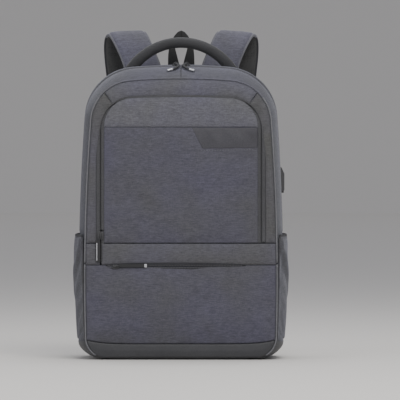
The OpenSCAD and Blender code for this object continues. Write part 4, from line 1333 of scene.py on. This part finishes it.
def strap(side, word):
    """Padded strap, bound at both rims, with its centre line, normals and distances along it."""
    path = spline(STRAP_PATH, 14)
    N = strap_normals(path)
    s = arc_length(path)
    u = s / s[-1]
    half = 29.5 - 13.0 * np.clip((u - 0.66) / 0.34, 0, 1) ** 1.3
    crest = s[int(np.argmax(path[:, 2]))]
    verts, mats = [], []
    for i, p in enumerate(path):
        for a, b in STRAP_SECTION:
            rim = abs(a) > 0.86
            thick = 5.4 if not rim else 5.0
            thick *= 1 - 0.35 * max(0.0, (u[i] - 0.93) / 0.07) - 0.45 * max(0.0, (0.06 - u[i]) / 0.06)
            v = noise.noise(Vector((s[i] / 38.0, a * 1.3 + side, b)))
            w = 0.0 if rim else v * 0.8
            lean = -1.9 * a * math.exp(-((s[i] - crest) / 26.0) ** 2)
            verts.append(p + np.array([half[i] * a, 0, lean]) + N[i] * (b * thick + w * (1 if b > 0 else -1)))
    for i in range(len(path) - 1):
        rim_mat = 2 if s[i] < crest + 6 else 3
        for (a0, b0), (a1, b1) in zip(STRAP_SECTION, STRAP_SECTION[1:] + STRAP_SECTION[:1]):
            mats.append(rim_mat if abs((a0 + a1) / 2) > 0.9 else int(b0 + b1 > 0))
    mats += [0, 0]
    verts = np.array(verts)
    verts[:, 0] *= side
    # Outside is the side away from the wearer where the strap hangs: cloth outside, mesh inside
    ob = mesh_object(f"shoulder_strap_{word}_pad", verts, ring_faces(len(path), len(STRAP_SECTION)),
                     ["strap", "mesh", "strap_rim", "binding"], mats)
    return fix_normals(ob), path, N, s


for side, word in SIDES:
    ob, path, N, s = strap(side, word)
    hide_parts(f"shoulder_strap_{word}")
    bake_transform(ob)
    # Webbing sewn down the middle of the hanging part
    use = (s > s[-1] * 0.52)
    web_path = (path - N * 6.0)[use]
    web_path[:, 0] *= side
    web_path = np.concatenate([web_path, [[side * 111, 112 + 3.2, 137]]])
    P = np.array([[p + np.array([c * 12.0, 0, 0]) for c in np.linspace(-1, 1, 6)] for p in web_path])
    flip = grid_normals(P, False)[3, 3][1] < 0
    web = shell(f"strap_web_{word}", P, 1.3, ["webbing", "webbing"], flip=flip)
    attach(web, f"strap_{word}")
    sewn = [stitches(f"sew_{e}", web_path + np.array([e * 10.4, 0.2, 0]), (0, 1, 0), lift=0.3) for e in (-1, 1)]
    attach(join(f"strap_stitching_{word}", sewn), f"strap_{word}")

yoke_g = []
for u in edge_steps(50, length=176.0):
    x = (2 * u - 1) * 88
    topz = 437 + 4.5 * (1 - abs(x) / 88)
    low = 402 + 8 * max(0.0, (abs(x) - 30) / 58) ** 1.5
    yoke_g.append([(x, low + (topz - low) * t) for t in edge_steps(10, length=37.0)])
yoke = front_panel("strap_yoke_cloth", yoke_g, ["strap", "lining"], -(BACK_Y + 10.0), puff=1.0, seed=61.0,
                   wave=0.4, roll_r=1.6, reach=12, thick=3.6)
yoke.data.transform(Matrix.Scale(-1, 4, (0, 1, 0)))
fix_normals(yoke)
stand_for(yoke, "bag", "strap_yoke")

# ---- Buckles, webbing and anchors ---------------------------------------------------------------
LOCK = (112.0, 112.0, 121.0)
LOWER_WEBBING = [(112, 113.5, 126.5), (112.5, 109.6, 121), (113.5, 110.5, 107), (119, 104, 84), (129, 96, 62),
                 (134, 86.5, 40)]
WEBBING_TAIL = [(112, 112.0, 127), (112, 116.6, 124), (112.2, 117.6, 112), (113, 118.8, 80), (116, 119.5, 50),
                (120, 119, 22)]
ANCHOR = [(118, 40), (121, 50), (145, 60), (146.5, 34), (136, 24)]
ANCHOR_SEAM = [(125, 36), (123, 46), (141, 54), (142, 36), (136, 29), (125, 36)]


def ladder_lock(side, word):
    """Moulded buckle with two bars and a thumb lip."""
    x, y, z = side * LOCK[0], LOCK[1], LOCK[2]
    parts = []
    for zc, w, h, dy, dep in ((13.0, 36, 4.0, 0, 5.0), (4.6, 30, 2.6, 0.8, 3.4), (-4.4, 30, 2.6, -0.8, 3.4),
                              (-13.0, 36, 4.4, 0.9, 5.4)):
        b = prism(f"bar{zc}", round_rect(x, z + zc, w, h, 1.2), y + dy - dep / 2, y + dy + dep / 2,
                  ["plastic"], "y")
        parts.append(bevelled(fix_normals(b), 0.6))
    for e in (-1, 1):
        b = prism(f"rail{e}", round_rect(x + e * 15.9, z, 4.2, 30, 1.6), y - 2.5, y + 2.5, ["plastic"], "y")
        parts.append(bevelled(fix_normals(b), 0.7))
    lip = prism("lip", round_rect(x, z - 15.6, 30, 3.2, 1.4), y + 1.0, y + 4.4, ["plastic"], "y")
    parts.append(bevelled(fix_normals(lip), 0.8))
    stand_for(join(f"ladder_lock_{word}_buckle", parts), f"strap_{word}", f"ladder_lock_{word}")


def web_band(name, pts):
    """Flat webbing along a curve; its width stays as level along X as the curve allows."""
    path = spline(pts, 10)
    T = np.gradient(path, axis=0)
    T /= np.linalg.norm(T, axis=1, keepdims=True)
    P = []
    for i, p in enumerate(path):
        w = np.array([1.0, 0, 0]) - T[i] * T[i][0]
        w /= np.linalg.norm(w)
        P.append([p + w * c * WEBBING_W / 2 for c in (-1, -0.96, -0.5, 0, 0.5, 0.96, 1)])
    return shell(name, np.array(P), WEBBING_T, ["webbing", "webbing"])


for side, word in SIDES:
    ladder_lock(side, word)
    low = [(side * x, y, z) for x, y, z in LOWER_WEBBING]
    w = fix_normals(web_band(f"lower_webbing_{word}", low))
    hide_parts(f"strap_webbing_{word}")
    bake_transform(w)
    tail = [(side * x, y, z) for x, y, z in WEBBING_TAIL]
    t = web_band(f"webbing_tail_{word}_web", tail)
    fold_bar = prism("hem", round_rect(side * 120, 22.5, 25, 7, 1.0), 117.0, 120.4, ["webbing"], "y")
    t = join(f"webbing_tail_{word}_end", [t, bevelled(fix_normals(fold_bar), 0.6)])
    stand_for(t, f"strap_{word}", f"webbing_tail_{word}")
    tri = [(side * a, b) for a, b in ANCHOR]
    anchor = prism(f"anchor_{word}", tri if side > 0 else tri[::-1], BACK_Y + 6.2, BACK_Y + 9.4, ["strap"], "y")
    anchor = bevelled(fix_normals(anchor), 1.1, 3)
    box = [(side * a, BACK_Y + 9.4, b) for a, b in ANCHOR_SEAM]
    sew = stitches(f"anchor_sew_{word}", resample(box, 60), (0, 1, 0))
    anchor = join(f"strap_anchor_{word}_tab", [anchor, sew])
    stand_for(anchor, "bag", f"strap_anchor_{word}")

# ---- Zip sliders and pulls ----------------------------------------------------------------------

def slider_mesh(name):
    """Slider on a zip along X, outside up: two shield plates, post, side walls and a bridge."""
    shield = [(-6, -3.0), (-5.2, -4.2), (-3, -4.5), (2.5, -4.5), (4.6, -3.9), (6, -2.2), (6, 2.2), (4.6, 3.9),
              (2.5, 4.5), (-3, 4.5), (-5.2, 4.2), (-6, 3.0)]
    parts = [bevelled(prism("plate_a", shield, 1.6, 2.8, ["dark_metal"]), 0.35),
             bevelled(prism("plate_b", shield, -2.8, -1.6, ["dark_metal"]), 0.35),
             prism("post", [(2, -0.35), (5, -0.35), (5, 0.35), (2, 0.35)], -1.7, 1.7, ["dark_metal"])]
    for s in (-1, 1):
        for lo, hi in ((0.7, 1.7), (-1.7, -0.7)):
            parts.append(prism("wall", [(-4, s * 4 - 0.5), (4, s * 4 - 0.5), (4, s * 4 + 0.5), (-4, s * 4 + 0.5)],
                               lo, hi, ["dark_metal"]))
    arch = [(-4.1, 0, 2.7), (-4.0, 0, 4.0), (-3.0, 0, 5.1), (0, 0, 5.45), (3.0, 0, 5.1), (4.0, 0, 4.0),
            (4.1, 0, 2.7)]
    parts.append(tube("bridge", spline(arch, 5), 0.62, ["dark_metal"], sides=10, flat=(0.95, 0.55),
                      up=(0, 1, 0)))
    return join(name, [fix_normals(p) for p in parts])


def flat_pull(name, length, width, tip, shift=0.0):
    """Moulded pull along +X with its cross bar under the bridge, a grip panel and a pale end."""
    eye = 3.75
    w = width / 2
    head = [(-0.6, -2.2), (0.6, -2.2), (0.6, 2.2), (-0.6, 2.2)]
    parts = [bevelled(prism("bar", head, eye - 0.55, eye + 0.55, ["dark_metal"]), 0.2)]
    for s in (-1, 1):
        arm = [(0, s * 1.55), (7.2, s * 1.55), (7.2, s * 2.6), (0, s * 2.4)]
        parts.append(bevelled(prism("arm", arm, eye - 0.55, eye + 0.55, ["dark_metal"]), 0.2))
    body = round_rect((6.4 + length) / 2, shift, length - 6.4, width, min(w - 0.2, 1.8))
    parts.append(bevelled(prism("body", body, eye - 0.6, eye + 0.6, ["rubber"]), 0.4, 3))
    if tip == "stripe":
        stripe = round_rect(length - 15.5, shift - 1.9, 27, 1.3, 0.4)
        parts.append(bevelled(prism("stripe", stripe, eye + 0.5, eye + 0.95, ["silver"]), 0.2))
    else:
        cap = round_rect(length - 2.6, shift, 5.2, width + 0.2, 1.0)
        parts.append(bevelled(prism("cap", cap, eye - 0.95, eye + 0.95, ["silver"]), 0.35, 3))
    return join(name, [fix_normals(p) for p in parts])


def place(ob, m):
    """Moves the piece's mesh and leaves the object where it is."""
    ob.data.transform(m)
    return ob


# How far round the top arc, in radians, each main slider sits from the middle
tilt = 8.0 / CROWN_R


def on_main(side):
    """Place of a main slider on the crown of the bag, mirrored for the left one."""
    m = (Matrix.Translation((0, ZIP_Y * MM, (BAG_H - CROWN_R) * MM)) @ Matrix.Rotation(tilt, 4, "Y")
         @ Matrix.Translation((0, 0, (CROWN_R - 1) * MM)))
    return Matrix.Scale(-1, 4, (1, 0, 0)) @ m if side < 0 else m


def drape_pull(name):
    """Cord pull: rings the bridge, drapes forward over the wall and ends in a metal tip."""
    a = np.linspace(0, 2 * math.pi, 25)[:-1]
    ring = [(0, 1.62 * math.cos(t), 5.2 + 1.62 * math.sin(t)) for t in a]
    parts = [tube("ring", ring, 0.45, ["rubber"], sides=8, closed=True, up=(1, 0, 0), flat=(1.5, 0.42))]
    pts = [(0, -1.9, 5.1), (-0.6, -5, 4.5), (-2.6, -13, 3.2), (-4.0, -22, 2.4), (-3.8, -32, 1.2),
           (-1.6, -40, -0.8), (1.8, -46, -2.8), (6.2, -49.5, -4.3)]
    path = spline(pts, 6)
    parts.append(tube("cord", path, 1.5, ["rubber"], sides=12, flat=(2.4, 1.3), up=(0, 0, 1)))
    tip = spline([(5.4, -49.1, -4.0), (9.0, -51.0, -5.0), (13.0, -52.4, -5.8)], 5)
    parts.append(bevelled(tube("tip", tip, 2.0, ["silver"], sides=14, flat=(2.5, 1.7), up=(0, 0, 1)), 0.3))
    return join(name, [fix_normals(p) for p in parts])


for side, word in SIDES:
    for make, node_name, body in ((slider_mesh, f"main_slider_{word}", f"main_slider_{word}_body"),
                                  (drape_pull, f"main_pull_{word}", f"main_pull_{word}_body")):
        stand_for(fix_normals(place(make(f"{node_name}_part"), on_main(side))), body, node_name)

front_at = (Matrix.Translation((-ARCH_HW * MM, (FACE_Y + 1) * MM, 0.19)) @ Matrix.Rotation(math.pi / 2, 4, "Y")
            @ Matrix.Rotation(math.pi / 2, 4, "X"))
lower_at = (Matrix.Translation((-0.1, (FACE_Y + 1) * MM, LOWER_ZIP_Z * MM)) @ Matrix.Rotation(math.pi / 2, 4, "X")
            @ Matrix.Scale(0.75, 4))
for name, at, length, width, tip, shift in (("front", front_at, 40, 6.8, "stripe", -3.7),
                                            ("lower", lower_at, 64, 6.6, "cap", 2.2)):
    stand_for(place(slider_mesh(f"{name}_slider_part"), at), f"{name}_slider_body", f"{name}_slider")
    pull = flat_pull(f"{name}_pull_part", length, width, tip, shift)
    stand_for(place(pull, at), f"{name}_pull_body", f"{name}_pull")

# ---- USB port -----------------------------------------------------------------------------------
for n, key in (("usb_housing", "plastic"), ("usb_socket", "silver"), ("usb_cable", "rubber"),
               ("usb_cover", "rubber")):
    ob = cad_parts[n]
    ob.data.materials.clear()
    ob.data.materials.append(M[key])
    bev = ob.modifiers.new("edge", "BEVEL")
    bev.width = (0.9 if n == "usb_housing" else 0.15) * MM
    bev.segments = 3
    bev.limit_method = "ANGLE"
    bev.angle_limit = math.radians(40)

# ---- Camera, floor and light --------------------------------------------------------------------
scene = bpy.context.scene
# Metres from here on: a floor that slopes up into a wall, far enough back for the camera to go round
floor_me = bpy.data.meshes.new("floor")
FLOOR_HALF, WALL_Y, WALL_H = 16.0, 13.0, 8.0
profile = [(-FLOOR_HALF, 0), (WALL_Y - 1.5, 0), (WALL_Y, 1.2), (WALL_Y, WALL_H)]
floor_me.from_pydata([(x, y, z) for y, z in profile for x in (-FLOOR_HALF, FLOOR_HALF)], [],
                     [(k, k + 1, k + 3, k + 2) for k in (0, 2, 4)])
floor_m, _, floor_b = new_material("pale_floor", rough=0.9)
floor_b.inputs["Base Color"].default_value = (0.62, 0.6, 0.57, 1)
floor_me.materials.append(floor_m)
WALL_COLOUR = (0.84, 0.82, 0.79, 1)
wall_m, _, wall_b = new_material("pale_wall", rough=0.9)
wall_b.inputs["Base Color"].default_value = WALL_COLOUR
wall_b.inputs["Emission Color"].default_value = WALL_COLOUR
wall_b.inputs["Emission Strength"].default_value = 0.16
floor_me.materials.append(wall_m)
floor_me.polygons.foreach_set("material_index", [0, 0, 1])
floor = bpy.data.objects.new("floor", floor_me)
scene.collection.objects.link(floor)

world = bpy.data.worlds.new("studio")
scene.world = world
world.use_nodes = True
world.node_tree.nodes["Background"].inputs["Color"].default_value = (0.9, 0.92, 1.0, 1)
world.node_tree.nodes["Background"].inputs["Strength"].default_value = 0.55


def area(name, at, target, size, power, colour=(1, 1, 1)):
    li = bpy.data.lights.new(name, "AREA")
    li.size = size
    li.energy = power
    li.color = colour
    ob = bpy.data.objects.new(name, li)
    ob.location = at
    ob.rotation_euler = (Vector(target) - Vector(at)).to_track_quat("-Z", "Y").to_euler()
    scene.collection.objects.link(ob)


area("key", (0.7, -1.9, 2.2), (0, 0, 0.25), 1.6, 56, (1, 0.99, 0.97))
area("fill", (-1.9, -2.0, 1.0), (0, 0, 0.25), 2.0, 22, (0.97, 0.98, 1))
area("top", (0.1, 0.6, 2.6), (0, 0, 0.3), 1.4, 28)

cam_data = bpy.data.cameras.new("camera")
cam = bpy.data.objects.new("camera", cam_data)
scene.collection.objects.link(cam)
CAMERA_ELEV, CAMERA_DIST, VIEW_WIDTH, SENSOR = math.radians(1.0), 10.0, 0.612, 36
target = Vector((0.0292, 0, 0.2432))
cam.location = target + CAMERA_DIST * Vector((0, -math.cos(CAMERA_ELEV), math.sin(CAMERA_ELEV)))
cam.rotation_euler = (target - cam.location).to_track_quat("-Z", "Y").to_euler()
cam_data.sensor_width = SENSOR
# The view is this wide at the front face
cam_data.lens = SENSOR * (CAMERA_DIST + FACE_Y * MM) / VIEW_WIDTH
scene.camera = cam
